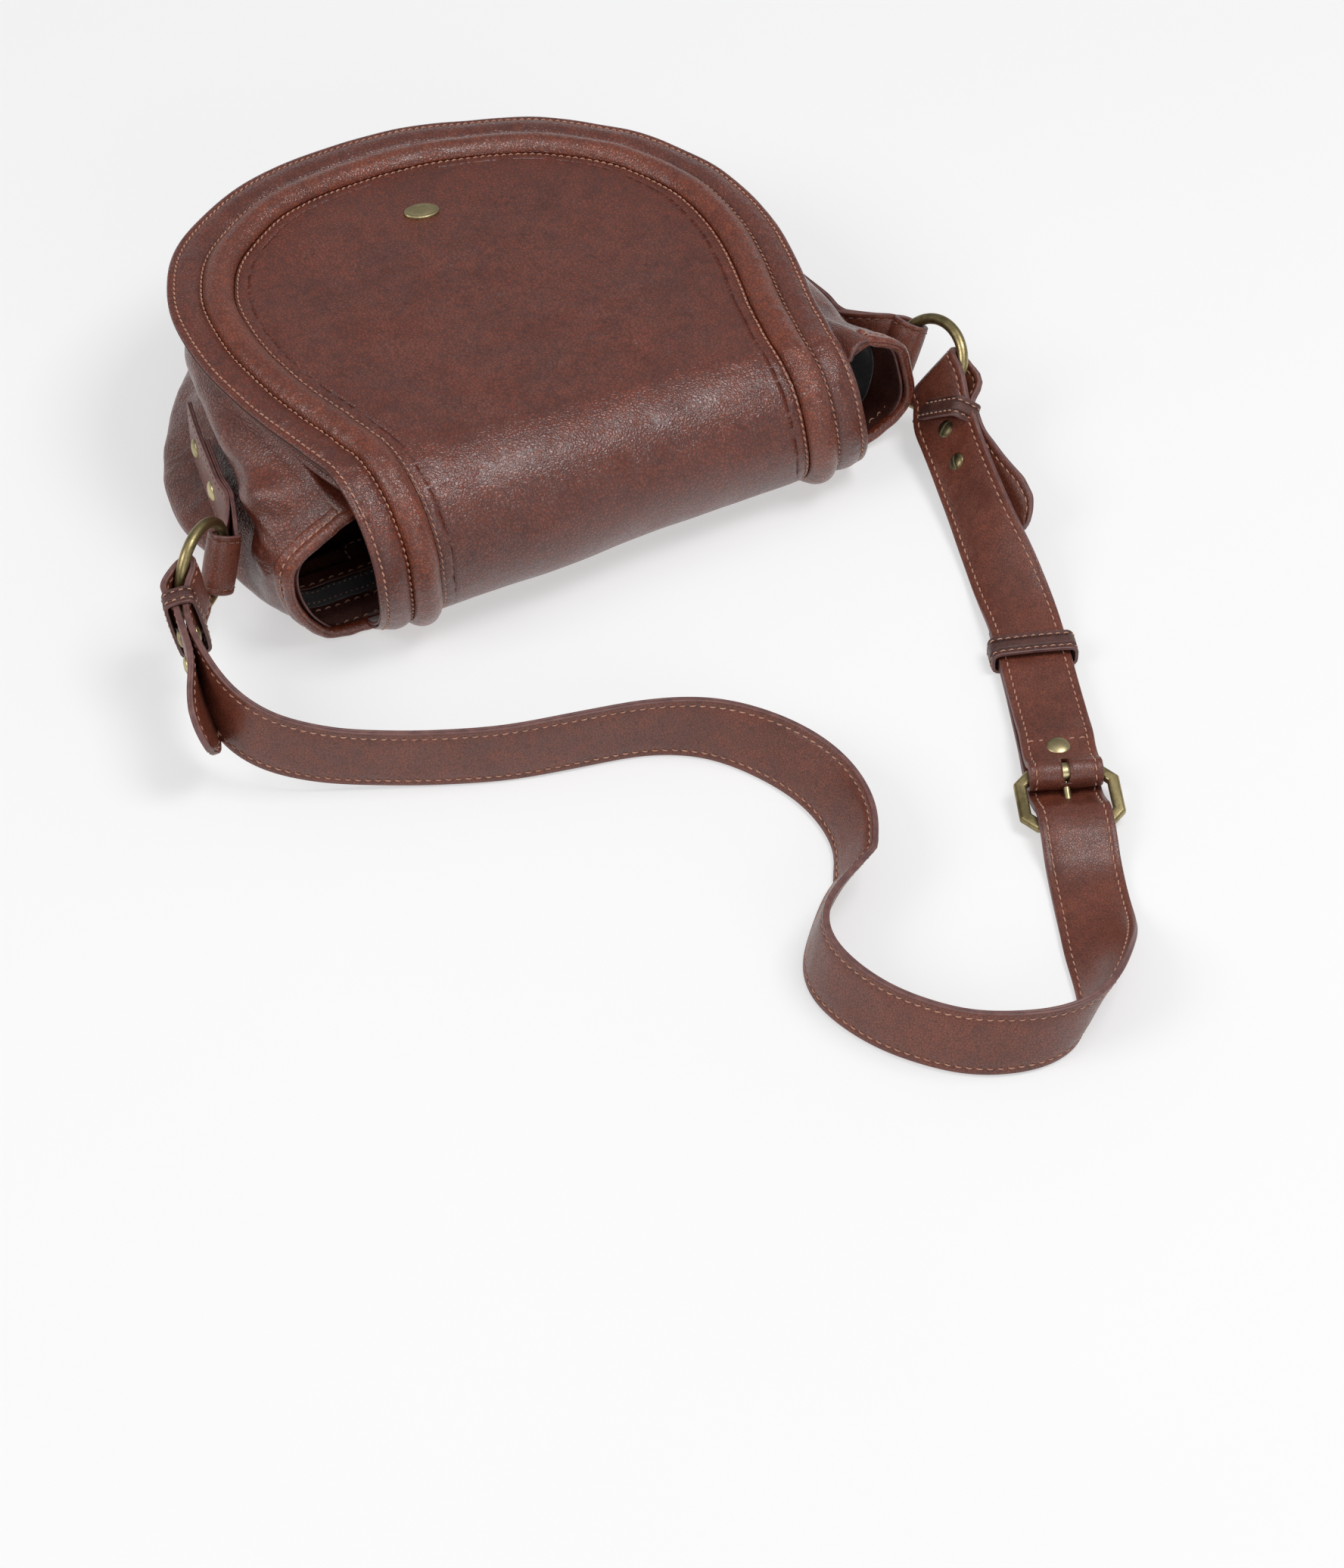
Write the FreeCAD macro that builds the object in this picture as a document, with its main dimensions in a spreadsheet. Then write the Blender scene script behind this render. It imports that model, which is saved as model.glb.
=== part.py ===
import FreeCAD, Part
import math
import os
from FreeCAD import Placement, Rotation, Vector as V

# Crossbody flap purse lying on its back panel, with its two-part buckled strap
# spread out beyond the top fold. X runs across the bag, Y from the top fold (-Y)
# to the rounded end of the flap (+Y), Z up. The back panel lies on z = 0.

DIMENSIONS = [
    ("leather", 2.4), ("flap_leather", 2.2), ("lining", 1.2), ("strap_leather", 2.6),
    ("strap_width", 30), ("flap_end", 119.5), ("fold_y", -82.5),
    ("depth_mid", 74),      # height of the flap's outer face at x = 0
    ("slope", 0.08),        # fall of the flap per millimetre of x
    ("fold_shell", 2.4), ("bead_offset", 21.5), ("bead_radius", 5.4),
    ("ring_radius", 19), ("ring_wire", 2.4), ("rivet_radius", 4.4), ("screw_radius", 4.0),
    ("snap_radius", 9), ("snap_height", 1.7), ("badge_length", 16), ("badge_width", 10),
    ("badge_height", 1.6), ("frame_length", 43), ("frame_depth", 30), ("frame_bar", 4.0),
    ("mouth_y", -95), ("zip_length", 170),
]

doc = FreeCAD.newDocument("purse")
sheet = doc.addObject("Spreadsheet::Sheet", "dims")
for row, (alias, value) in enumerate(DIMENSIONS, 1):
    sheet.set("A%d" % row, alias)
    sheet.set("B%d" % row, str(value))
    sheet.setAlias("B%d" % row, alias)
doc.recompute()

DIM = {alias: float(value) for alias, value in DIMENSIONS}
LEATHER = DIM["leather"]
FLAP = DIM["flap_leather"]
LINING = DIM["lining"]
STRAP = DIM["strap_leather"]
STRAP_WIDTH = DIM["strap_width"]
FOLD_Y = DIM["fold_y"]
MOUTH_Y = DIM["mouth_y"]
DEPTH = DIM["depth_mid"]
SLOPE = DIM["slope"]
BEAD_OFFSET = DIM["bead_offset"]
BEAD_RADIUS = DIM["bead_radius"]
RING_RADIUS = DIM["ring_radius"]

TILT = Rotation(V(0, 1, 0), math.degrees(math.atan(SLOPE)))
UP = V(0, 0, 1)
pieces = []


# ---- shared helpers ----
def label(obj, name):
    """Name obj and list it for export."""
    obj.Label = name
    pieces.append(obj)


def bind(obj, **expressions):
    for prop, expression in expressions.items():
        obj.setExpression(prop, expression)


def feature(name, shape):
    obj = doc.addObject("Part::Feature", name)
    obj.Shape = shape
    return obj


def piece(name, shape):
    label(feature(name, shape), name)


def fuse(name, objects):
    fusion = doc.addObject("Part::MultiFuse", name)
    fusion.Shapes = objects
    label(fusion, name)


def extrusion(name, wire, length):
    """Solid extruded up from a flat wire; length is an expression."""
    solid = doc.addObject("Part::Extrusion", name)
    solid.Base = feature(name + "_outline", wire)
    solid.DirMode = "Custom"
    solid.Dir = UP
    solid.Solid = True
    bind(solid, LengthFwd=length)
    return solid


def body_sketch(body, name):
    """New sketch on the body's XY plane."""
    plane = [o for o in body.Origin.OriginFeatures if o.Role == "XY_Plane"][0]
    sketch = body.newObject("Sketcher::SketchObject", name)
    sketch.AttachmentSupport = [(plane, "")]
    sketch.MapMode = "FlatFace"
    return sketch


def mirrored(half):
    """Complete a half outline that runs from +x round to its last point at x = 0."""
    return half + [(-x, y) for x, y in reversed(half[:-1])]


def spline(points):
    curve = Part.BSplineCurve()
    curve.interpolate(points)
    return curve.toShape()


def closed_wire(outline_points, height=lambda x: 0.0):
    """Spline through the points, closed by a straight edge."""
    points = [V(x, y, height(x)) for x, y in outline_points]
    return Part.Wire([spline(points), Part.LineSegment(points[-1], points[0]).toShape()])


def dome(ball_radius, ball_z, base_z, rim_radius):
    """Cap of a ball above base_z, trimmed to a round rim."""
    ball = Part.makeSphere(ball_radius, V(0, 0, ball_z))
    cap = ball.common(Part.makeBox(20, 20, 5, V(-10, -10, base_z)))
    return cap.common(Part.makeCylinder(rim_radius, 20))


def perpendicular(vector, axis):
    """Unit vector along the part of vector that is square to the unit axis."""
    return (vector - axis * vector.dot(axis)).normalize()


# ---- bag body ----
FLOOR_Z = 2.6
FRONT_DROP = 9.8            # from the flap's outer face down to the top of the body
STATIONS_Y = [MOUTH_Y, -75, -50, -20, 10, 40, 65, 85, 100, 110]
# Sections: share of the body depth, half-widths at STATIONS_Y, y of the rounded
# end, and extra width of the +x side at the first two stations.
SECTIONS = [
    (0.00, [124, 133, 139, 143, 142, 132, 116, 97, 75, 48], 115, (4, 2)),
    (0.13, [132, 141, 148, 152, 150, 139, 122, 103, 80, 52], 117, (10, 5)),
    (0.26, [137, 143, 141, 137, 131, 123, 110, 92, 71, 46], 113, (13, 6)),
    (0.74, [134, 141, 139, 136, 130, 122, 109, 91, 70, 46], 112, (16, 7)),
    (0.87, [126, 133, 137, 138, 134, 125, 111, 93, 72, 47], 112, (20, 8)),
    (1.00, [114, 119, 124, 128, 127, 120, 106, 88, 68, 43], 109, (18, 8)),
]
OPEN_Y = -99                # cutting lofts run past the mouth to here
BODY_LINING = 1.1
BODY_LINING_GAP = 0.8       # from the gusset to the lining
BODY_LINING_LIFT = 0.15     # from the floor and the front to the lining
NOTCH_HALF = 119.5          # half-width of the notch for the fold


def flap_z(x):
    return DEPTH - SLOPE * x


def outline(half_widths, end, inset=0.0, mouth=MOUTH_Y, extra=(0, 0)):
    """Plan outline of the body, from the +x mouth corner round to the -x one."""
    squeeze = (end - inset) / end
    half = [(x - inset, y) for x, y in zip(half_widths, [mouth] + STATIONS_Y[1:])]
    half = [(x, y * squeeze if y > 60 else y) for x, y in half]
    points = mirrored(half + [(0.0, end - inset)])
    for i in range(2):
        points[i] = (points[i][0] + extra[i], points[i][1])
    return points


def body_loft(inset, gap=0.0, mouth=MOUTH_Y, overshoot=0.0):
    """Loft of all sections; gap pulls the floor and the front inwards."""
    rows = [(section, 0.0) for section in SECTIONS]
    if overshoot:
        rows = [(SECTIONS[0], -overshoot)] + rows + [(SECTIONS[-1], overshoot)]
    bottom = FLOOR_Z + gap
    wires = []
    for (share, half_widths, end, extra), shift in rows:
        def height(x):
            return shift + bottom + share * (flap_z(x) - FRONT_DROP - gap - bottom)
        wires.append(closed_wire(outline(half_widths, end, inset, mouth, extra), height))
    return Part.makeLoft(wires, True, True)


def build_gusset():
    shell = body_loft(0).cut(body_loft(LEATHER, mouth=OPEN_Y, overshoot=1.0))
    below = Part.makeBox(400, 400, 40, V(-200, -200, FLOOR_Z - 40))
    piece("gusset", shell.cut(below))


def build_body_lining():
    inset = LEATHER + BODY_LINING_GAP
    hollow = body_loft(inset + BODY_LINING, BODY_LINING_LIFT + BODY_LINING, OPEN_Y)
    shell = body_loft(inset, BODY_LINING_LIFT).cut(hollow)
    notch = Part.makeBox(2 * NOTCH_HALF, 40, 120, V(-NOTCH_HALF, -119.0, -10))
    piece("body_lining", shell.cut(notch))


def build_mouth_bands():
    """Strips round the outside of the gusset at the two mouth corners."""
    for name, clip_x in (("mouth_band_left", -190), ("mouth_band_right", 90)):
        ring = body_loft(-1.9).cut(body_loft(-0.12))
        clip = Part.makeBox(100, 7.5, 100, V(clip_x, MOUTH_Y + 0.1, FLOOR_Z + 1.0))
        roof = Part.makeBox(400, 60, 60, V(-200, -30, 0))
        roof.Placement = Placement(V(0, -80, DEPTH - 11.0), TILT)
        piece(name, ring.common(clip).cut(roof))


def build_back_panel():
    """Back panel, notched at its -Y edge for the fold."""
    points = [V(x, y, 0) for x, y in outline([x + 1.5 for x in SECTIONS[0][1]], 117)]
    inner_y = FOLD_Y + 0.2
    notch = [
        points[-1],
        V(-NOTCH_HALF, MOUTH_Y, 0), V(-NOTCH_HALF, inner_y, 0),
        V(NOTCH_HALF, inner_y, 0), V(NOTCH_HALF, MOUTH_Y, 0),
        points[0],
    ]
    wire = Part.Wire([spline(points)] + Part.makePolygon(notch).Edges)
    label(extrusion("back_panel", wire, "dims.leather"), "back_panel")


def build_front_panel():
    wire = closed_wire(outline([x + 1.0 for x in SECTIONS[4][1]], 110))
    panel = extrusion("front_panel", wire, "dims.leather")
    panel.Placement = Placement(V(0, 0, DEPTH - 9.7), TILT)
    label(panel, "front_panel")


# ---- flap ----
# Cut edge of the flap as x, y: right half, from the fold line to the rounded end.
FLAP_EDGE = [
    (116, FOLD_Y), (118, -76), (122, -62), (126.5, -48), (131, -30), (134, -12),
    (135, 4), (134.3, 20), (131.5, 37), (126, 52), (118, 67), (107, 80.5), (93, 92),
    (78, 101.5), (62, 108.3), (43, 113.8), (22, 118), (0, DIM["flap_end"]),
]
FOLD_TOP = 90.0             # angles round the fold: 90 is the top, 270 the floor
FOLD_END = 146.0
PIPING_RADIUS = BEAD_RADIUS - 0.1


def inset_edge(distance):
    """Full flap edge moved inwards; the two end points keep their y."""
    points = mirrored(FLAP_EDGE)
    last = len(points) - 1
    moved = []
    for i, (x, y) in enumerate(points):
        before = points[max(i - 1, 0)]
        after = points[min(i + 1, last)]
        run_x = after[0] - before[0]
        run_y = after[1] - before[1]
        run = math.hypot(run_x, run_y)
        moved_y = y + run_x / run * distance if 0 < i < last else y
        moved.append((x - run_y / run * distance, moved_y))
    return moved


def plate(name, points, bottom, thickness):
    """Flat plate in the flap's frame; thickness is an expression."""
    solid = extrusion(name, closed_wire(points), thickness)
    solid.Placement = Placement(V(0, 0, bottom), Rotation())
    return solid


def on_flap(obj):
    """Move obj so that its z = 0 becomes the flap's outer face."""
    obj.Placement = Placement(V(0, 0, DEPTH), TILT).multiply(obj.Placement)
    return obj


def fold_arc(inset, thickness, start, end, x_from, x_to):
    """Tapered shell of the round fold between two angles."""
    sections = []
    for x in (x_from, x_to):
        outer = flap_z(x) / 2.0 - inset
        inner = outer - thickness
        centre = V(x, FOLD_Y, flap_z(x) / 2.0)
        middle = (start + end) / 2.0

        def at(radius, angle):
            turn = math.radians(angle)
            return centre + V(0, radius * math.cos(turn), radius * math.sin(turn))

        sections.append(Part.Wire([
            Part.Arc(at(outer, start), at(outer, middle), at(outer, end)).toShape(),
            Part.LineSegment(at(outer, end), at(inner, end)).toShape(),
            Part.Arc(at(inner, end), at(inner, middle), at(inner, start)).toShape(),
            Part.LineSegment(at(inner, start), at(outer, start)).toShape(),
        ]))
    return Part.makeLoft(sections, True, True)


def build_flap_panel():
    points = inset_edge(BEAD_OFFSET + BEAD_RADIUS + 0.35)
    flat = on_flap(plate("flap_panel_flat", points, -FLAP, "dims.flap_leather"))
    fold = feature("flap_fold", fold_arc(0, FLAP, FOLD_TOP, FOLD_END, -89.0, 89.0))
    fuse("flap_panel", [flat, fold])


def build_flap_border():
    inner = inset_edge(BEAD_OFFSET - BEAD_RADIUS - 0.6)
    past_fold = FOLD_Y - 20     # the cutter runs out beyond the fold line
    inner = [(inner[0][0], past_fold)] + inner + [(inner[-1][0], past_fold)]
    flat = doc.addObject("Part::Cut", "border_flat")
    flat.Base = plate("border_out", mirrored(FLAP_EDGE), -FLAP, "dims.flap_leather")
    flat.Tool = plate("border_in", inner, -FLAP - 5, "dims.flap_leather + 10")
    on_flap(flat)
    folds = [
        feature("border_fold", fold_arc(0, FLAP, FOLD_TOP, FOLD_END, x_from, x_to))
        for x_from, x_to in ((-116.0, -102.5), (102.5, 116.0))
    ]
    fuse("flap_border", [flat] + folds)


def build_flap_piping():
    """Round bead between panel and border, carried on round the fold."""
    points = [V(x, y, 0) for x, y in inset_edge(BEAD_OFFSET)]
    path = Part.Wire([spline(points)])
    start_direction = (points[1] - points[0]).normalize()
    profile = Part.Wire([Part.makeCircle(PIPING_RADIUS, points[0], start_direction)])
    tube = path.makePipeShell([profile], True, False)
    keep = Part.makeBox(400, 400, BEAD_RADIUS + FLAP, V(-200, FOLD_Y + 0.3, -FLAP))
    flat = on_flap(feature("piping_flat", tube.common(keep)))

    fold_axis = V(1, 0, -SLOPE / 2.0).normalize()
    ends = []
    for x in (-points[0].x, points[0].x):
        circle = Part.makeCircle(PIPING_RADIUS, V(x, FOLD_Y + 0.3, flap_z(x)), V(0, 1, 0))
        clip = Part.makeBox(20, 10, 9.0, V(x - 10, FOLD_Y - 2, flap_z(x) - FLAP + 0.55))
        section = Part.Face(Part.Wire([circle])).common(clip)
        turn = FOLD_END - FOLD_TOP
        ends.append(section.revolve(V(0, FOLD_Y, DEPTH / 2.0), fold_axis, turn))
    fuse("flap_piping", [flat, feature("piping_fold", Part.makeCompound(ends))])


def build_flap_lining():
    bottom = -FLAP - 0.1 - LINING
    lining = plate("flap_lining", inset_edge(5.0), bottom, "dims.lining")
    label(on_flap(lining), "flap_lining")


def build_fold_spine():
    """Shell inside the fold, from the flap round to the floor."""
    shell = fold_arc(FLAP + 2.2, DIM["fold_shell"], 130.0, 268.0, -116, 116)
    piece("fold_spine", shell)


def build_badge():
    """Oval badge on the outer face of the flap."""
    body = doc.addObject("PartDesign::Body", "badge_plate")
    sketch = body_sketch(body, "badge_sketch")
    half_length = DIM["badge_length"] / 2
    half_width = DIM["badge_width"] / 2
    sketch.addGeometry(Part.Ellipse(V(0, 0, 0), half_length, half_width), False)
    sketch.exposeInternalGeometry(0)
    doc.recompute()
    pad = body.newObject("PartDesign::Pad", "badge_pad")
    pad.Profile = sketch
    bind(pad, Length="dims.badge_height")
    body.Placement = Placement(V(-5, 56.8, 0.05), Rotation())
    label(on_flap(body), "badge_plate")


def build_snaps():
    """Snap discs: one under the flap lining, one below it on the front panel."""
    upper_z = -FLAP - 0.15 - LINING - DIM["snap_height"]
    for name, z in (("snap_upper", upper_z), ("snap_lower", -7.2)):
        disc = doc.addObject("Part::Cylinder", name)
        bind(disc, Radius="dims.snap_radius", Height="dims.snap_height")
        disc.Placement = Placement(V(0, 62, z), Rotation())
        label(on_flap(disc), name)


# ---- rings ----
# Side: centre, normal of the ring's plane, reference direction in that plane.
RINGS = {
    "left": (V(-169.4, -75.4, 44.8), V(0.625, -0.779, 0.043), V(0.679, 0.516, -0.516)),
    "right": (V(165.8, -87.5, 30), V(-0.842, -0.14, 0.521), V(-0.233, 0.967, -0.116)),
}


def ring_frame(side):
    """Centre of the ring, unit normal and two unit directions in its plane."""
    centre, normal, reference = RINGS[side]
    normal = V(normal).normalize()
    radial = perpendicular(reference, normal)
    return centre, normal, radial, normal.cross(radial)


def build_rings():
    for side, (centre, normal, _) in RINGS.items():
        name = "ring_" + side
        torus = doc.addObject("Part::Torus", name)
        bind(torus, Radius1="dims.ring_radius", Radius2="dims.ring_wire")
        torus.Placement = Placement(centre, Rotation(UP, normal))
        label(torus, name)


# ---- ribbons: lists of (centre, width direction, width) ----
def ribbon_frame(points, i, width_dir):
    """Unit width direction and unit normal of a ribbon at point i."""
    before = points[max(i - 1, 0)]
    after = points[min(i + 1, len(points) - 1)]
    forward = (after - before).normalize()
    width = perpendicular(width_dir, forward)
    return width, forward.cross(width)


def ribbon(stations, thickness):
    """Loft of rectangular sections, kept at least 0.2 above the ground."""
    points = [V(centre) for centre, _, _ in stations]
    # Each lift also turns the frame of the next point, so they go in order.
    for i, (_, width_dir, width) in enumerate(stations):
        across, normal = ribbon_frame(points, i, width_dir)
        drop = abs(across.z) * width / 2.0 + abs(normal.z) * thickness / 2.0
        low = points[i].z - drop
        if low < 0.2:
            points[i].z += 0.2 - low
    wires = []
    for i, (_, width_dir, width) in enumerate(stations):
        across, normal = ribbon_frame(points, i, width_dir)
        side = across * (width / 2.0)
        rise = normal * (thickness / 2.0)
        centre = points[i]
        corners = [centre + side + rise, centre - side + rise,
                   centre - side - rise, centre + side - rise]
        wires.append(Part.makePolygon(corners + [corners[0]]))
    return Part.makeLoft(wires, True, True)


def running_lengths(points):
    lengths = [0.0]
    for start, end in zip(points[:-1], points[1:]):
        lengths.append(lengths[-1] + (end - start).Length)
    return lengths


# ---- strap centre lines ----
# Rows: centre x, y, z and width direction x, y, z.
# Long strap, from near the buckle to the left ring.
LONG_ROWS = [
    (93.3, -323.4, 0.5, 0.933, -0.357, -0.032),
    (89.3, -333.9, 0.6, 0.931, -0.363, -0.023),
    (85.1, -344.4, 0.8, 0.926, -0.377, -0.014),
    (80.8, -354.8, 0.9, 0.923, -0.386, -0.007),
    (76.4, -365.2, 0.9, 0.923, -0.384, -0.003),
    (72.1, -375.7, 1.2, 0.920, -0.392, 0.032),
    (67.6, -385.9, 2.8, 0.905, -0.385, 0.182),
    (62.7, -395.4, 6.3, 0.864, -0.309, 0.397),
    (57.5, -404.8, 10.0, 0.758, -0.237, 0.607),
    (51.8, -414.2, 12.5, 0.583, -0.222, 0.781),
    (45.2, -423.1, 14.0, 0.388, -0.224, 0.894),
    (36.7, -430.4, 15.0, 0.197, -0.190, 0.962),
    (26.1, -434.3, 15.7, 0.057, -0.100, 0.993),
    (14.9, -434.2, 15.9, 0.011, 0.018, 1.000),
    (4.0, -431.4, 15.9, 0.033, 0.098, 0.995),
    (-6.2, -426.6, 15.8, 0.068, 0.123, 0.990),
    (-15.4, -420.0, 15.8, 0.098, 0.119, 0.988),
    (-23.3, -412.0, 15.8, 0.123, 0.110, 0.986),
    (-30.0, -402.9, 15.7, 0.150, 0.102, 0.983),
    (-35.4, -393.0, 15.7, 0.182, 0.092, 0.979),
    (-39.5, -382.5, 15.6, 0.217, 0.074, 0.973),
    (-41.8, -371.5, 15.5, 0.252, 0.034, 0.967),
    (-41.8, -360.2, 15.4, 0.259, -0.041, 0.965),
    (-38.1, -349.6, 15.4, 0.213, -0.113, 0.970),
    (-30.9, -340.9, 15.2, 0.204, -0.158, 0.966),
    (-22.4, -333.5, 14.7, 0.263, -0.227, 0.938),
    (-13.6, -326.5, 13.9, 0.333, -0.315, 0.889),
    (-5.0, -319.2, 13.3, 0.385, -0.354, 0.852),
    (2.4, -310.8, 13.2, 0.428, -0.274, 0.861),
    (6.9, -300.5, 13.3, 0.456, -0.148, 0.877),
    (8.8, -289.4, 13.5, 0.473, -0.052, 0.880),
    (8.6, -278.1, 13.7, 0.458, 0.022, 0.889),
    (6.6, -267.0, 14.1, 0.414, 0.082, 0.906),
    (2.8, -256.4, 14.4, 0.352, 0.121, 0.928),
    (-2.6, -246.5, 14.8, 0.270, 0.130, 0.954),
    (-9.2, -237.4, 15.3, 0.179, 0.110, 0.978),
    (-17.1, -229.3, 15.6, 0.094, 0.071, 0.993),
    (-26.3, -222.7, 15.8, 0.033, 0.024, 0.999),
    (-36.4, -217.7, 15.9, 0.003, -0.013, 1.000),
    (-47.1, -214.3, 16.0, -0.004, -0.026, 1.000),
    (-58.2, -211.8, 16.0, -0.004, -0.022, 1.000),
    (-69.2, -209.5, 16.0, -0.003, -0.016, 1.000),
    (-80.2, -207.1, 16.0, -0.005, -0.018, 1.000),
    (-91.1, -204.1, 16.0, -0.008, -0.026, 1.000),
    (-101.9, -200.6, 16.0, -0.013, -0.034, 0.999),
    (-112.4, -196.4, 16.0, -0.013, -0.039, 0.999),
    (-122.7, -191.8, 16.1, -0.000, -0.048, 0.999),
    (-132.9, -187.2, 16.4, 0.032, -0.065, 0.997),
    (-143.2, -182.6, 17.3, 0.077, -0.085, 0.993),
    (-153.5, -178.0, 18.8, 0.122, -0.097, 0.988),
    (-163.5, -173.3, 20.7, 0.162, -0.101, 0.982),
    (-173.1, -167.8, 23.1, 0.200, -0.107, 0.974),
    (-181.8, -161.1, 25.8, 0.237, -0.138, 0.962),
    (-188.8, -153.0, 29.1, 0.255, -0.210, 0.944),
    (-193.2, -143.3, 32.9, 0.195, -0.264, 0.944),
    (-194.1, -132.5, 35.9, 0.084, -0.205, 0.975),
    (-192.9, -121.4, 37.4, -0.023, -0.103, 0.994),
    (-190.6, -110.4, 38.3, -0.115, -0.045, 0.992),
    (-187.0, -99.7, 39.1, -0.158, -0.018, 0.987),
]
# Short strap, from the right ring to the buckle.
SHORT_ROWS = [
    (158.8, -114.7, 21.6, 0.634, -0.329, 0.700),
    (156.9, -122.7, 20.0, 0.632, -0.280, 0.722),
    (154.6, -130.7, 19.0, 0.606, -0.258, 0.753),
    (152.4, -138.7, 18.1, 0.580, -0.247, 0.777),
    (150.4, -146.7, 17.1, 0.584, -0.241, 0.776),
    (148.5, -154.7, 16.0, 0.597, -0.241, 0.765),
    (146.5, -162.8, 15.0, 0.613, -0.245, 0.752),
    (144.5, -170.8, 14.0, 0.643, -0.250, 0.724),
    (142.5, -178.9, 13.1, 0.680, -0.256, 0.687),
    (140.5, -186.9, 12.1, 0.708, -0.269, 0.653),
    (138.6, -194.9, 10.7, 0.743, -0.303, 0.597),
    (137.1, -202.7, 8.3, 0.862, -0.294, 0.414),
    (135.7, -210.5, 5.6, 0.955, -0.245, 0.169),
    (133.9, -218.4, 3.8, 0.962, -0.273, -0.015),
    (131.2, -226.3, 3.6, 0.945, -0.325, -0.029),
    (128.4, -234.2, 3.6, 0.943, -0.332, -0.029),
    (125.6, -242.0, 3.6, 0.940, -0.340, -0.029),
    (122.8, -249.8, 3.6, 0.938, -0.347, -0.026),
    (119.9, -257.7, 3.7, 0.937, -0.349, -0.022),
    (116.9, -265.5, 3.7, 0.933, -0.360, -0.017),
    (113.9, -273.2, 3.9, 0.928, -0.373, -0.004),
    (110.7, -281.0, 4.1, 0.926, -0.377, 0.011),
    (107.6, -288.7, 4.3, 0.920, -0.391, 0.029),
    (104.2, -296.3, 4.9, 0.907, -0.414, 0.070),
    (100.6, -303.8, 5.7, 0.899, -0.420, 0.122),
]
LONG_LINE = [(V(*row[:3]), V(*row[3:])) for row in LONG_ROWS]
SHORT_LINE = [(V(*row[:3]), V(*row[3:])) for row in SHORT_ROWS]

# Buckle: centre of its heel bar, direction of the bar, and direction from the
# bar towards the short strap.
HEEL = V(97.5, -312, 9.3)
HEEL_PLAN = V(HEEL.x, HEEL.y, 0)
BUCKLE_ANGLE = -21.7
BUCKLE_TURN = Rotation(UP, BUCKLE_ANGLE)
BAR = V(math.cos(math.radians(BUCKLE_ANGLE)), math.sin(math.radians(BUCKLE_ANGLE)), 0)
ALONG = V(-BAR.y, BAR.x, 0)

# Fold of a strap round its ring: the two layers stand off the centre line by
# LOOP_RADIUS at the wire, closing to LAYER_OFFSET.
LOOP_RADIUS = 4.8
LAYER_OFFSET = 1.65
LOOP_REACH = 14.0

# Heights of the short strap: on the straight, rise by the middle keeper, rise at the heel.
UPPER_Z = 4.6
KEEPER_RISE = 1.7
HEEL_RISE = 4.0
UNDER_KEEPER_Z = 3.4        # height of the long strap's end in the middle keeper
WRAP_RADIUS = 4.8           # short strap round the heel bar

# Long strap through the buckle: distance from the heel bar along ALONG, height.
UNDER_RUN = [
    (-50, 1.9), (-42, 4.2), (-36, 7.3), (-30, 9.7), (-25.5, 10.3), (-21, 9.9), (-16, 7.0),
    (-11, 4.1), (-6, 2.0), (0, 1.7), (8, 1.7), (20, 1.7), (34, 1.7), (44, 1.7), (50, 2.2),
    (56, UNDER_KEEPER_Z), (75, UNDER_KEEPER_Z), (94, UNDER_KEEPER_Z), (98, 3.2),
]
# Pointed tail ends: distance past the last tail station, width.
LEFT_TAPER = [(9, STRAP_WIDTH), (18, STRAP_WIDTH), (27, STRAP_WIDTH), (33, 23), (38, 10), (40, 3)]
RIGHT_TAPER = [(7, STRAP_WIDTH), (14, STRAP_WIDTH), (20, STRAP_WIDTH), (26, 23), (31, 10), (33, 3)]


def layer_offset(distance):
    """Offset of each layer from the centre line, at a distance from the wire."""
    return LAYER_OFFSET + (LOOP_RADIUS - LAYER_OFFSET) * math.exp(-(distance / 9.0) ** 2)


def left_end():
    """Line outwards from the ring, wire point, wire direction, ring centre, main side."""
    centre, _, radial, tangent = ring_frame("left")
    cosine = math.cos(math.radians(225))
    sine = math.sin(math.radians(225))
    wire = centre + radial * (RING_RADIUS * cosine) + tangent * (RING_RADIUS * sine)
    axis = (radial * sine - tangent * cosine).normalize()
    # The main layer lies on the +x side.
    side = 1.0 if axis.cross(perpendicular(centre - wire, axis)).x > 0 else -1.0
    return [(wire, axis)] + LONG_LINE[::-1], wire, axis, centre, side


def right_end():
    """The same five values as left_end, for the right ring."""
    centre, normal, _, _ = ring_frame("right")
    pull = perpendicular(V(0, -0.966, -0.258), normal)
    wire = centre + pull * RING_RADIUS
    axis = normal.cross(pull).normalize()
    if axis.z < 0:
        axis = axis * -1.0
    # The main layer lies on top.
    side = 1.0 if axis.cross(perpendicular(centre - wire, axis)).z > 0 else -1.0
    return [(wire, axis)] + SHORT_LINE, wire, axis, centre, side


LEFT_END = left_end()
RIGHT_END = right_end()


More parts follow.
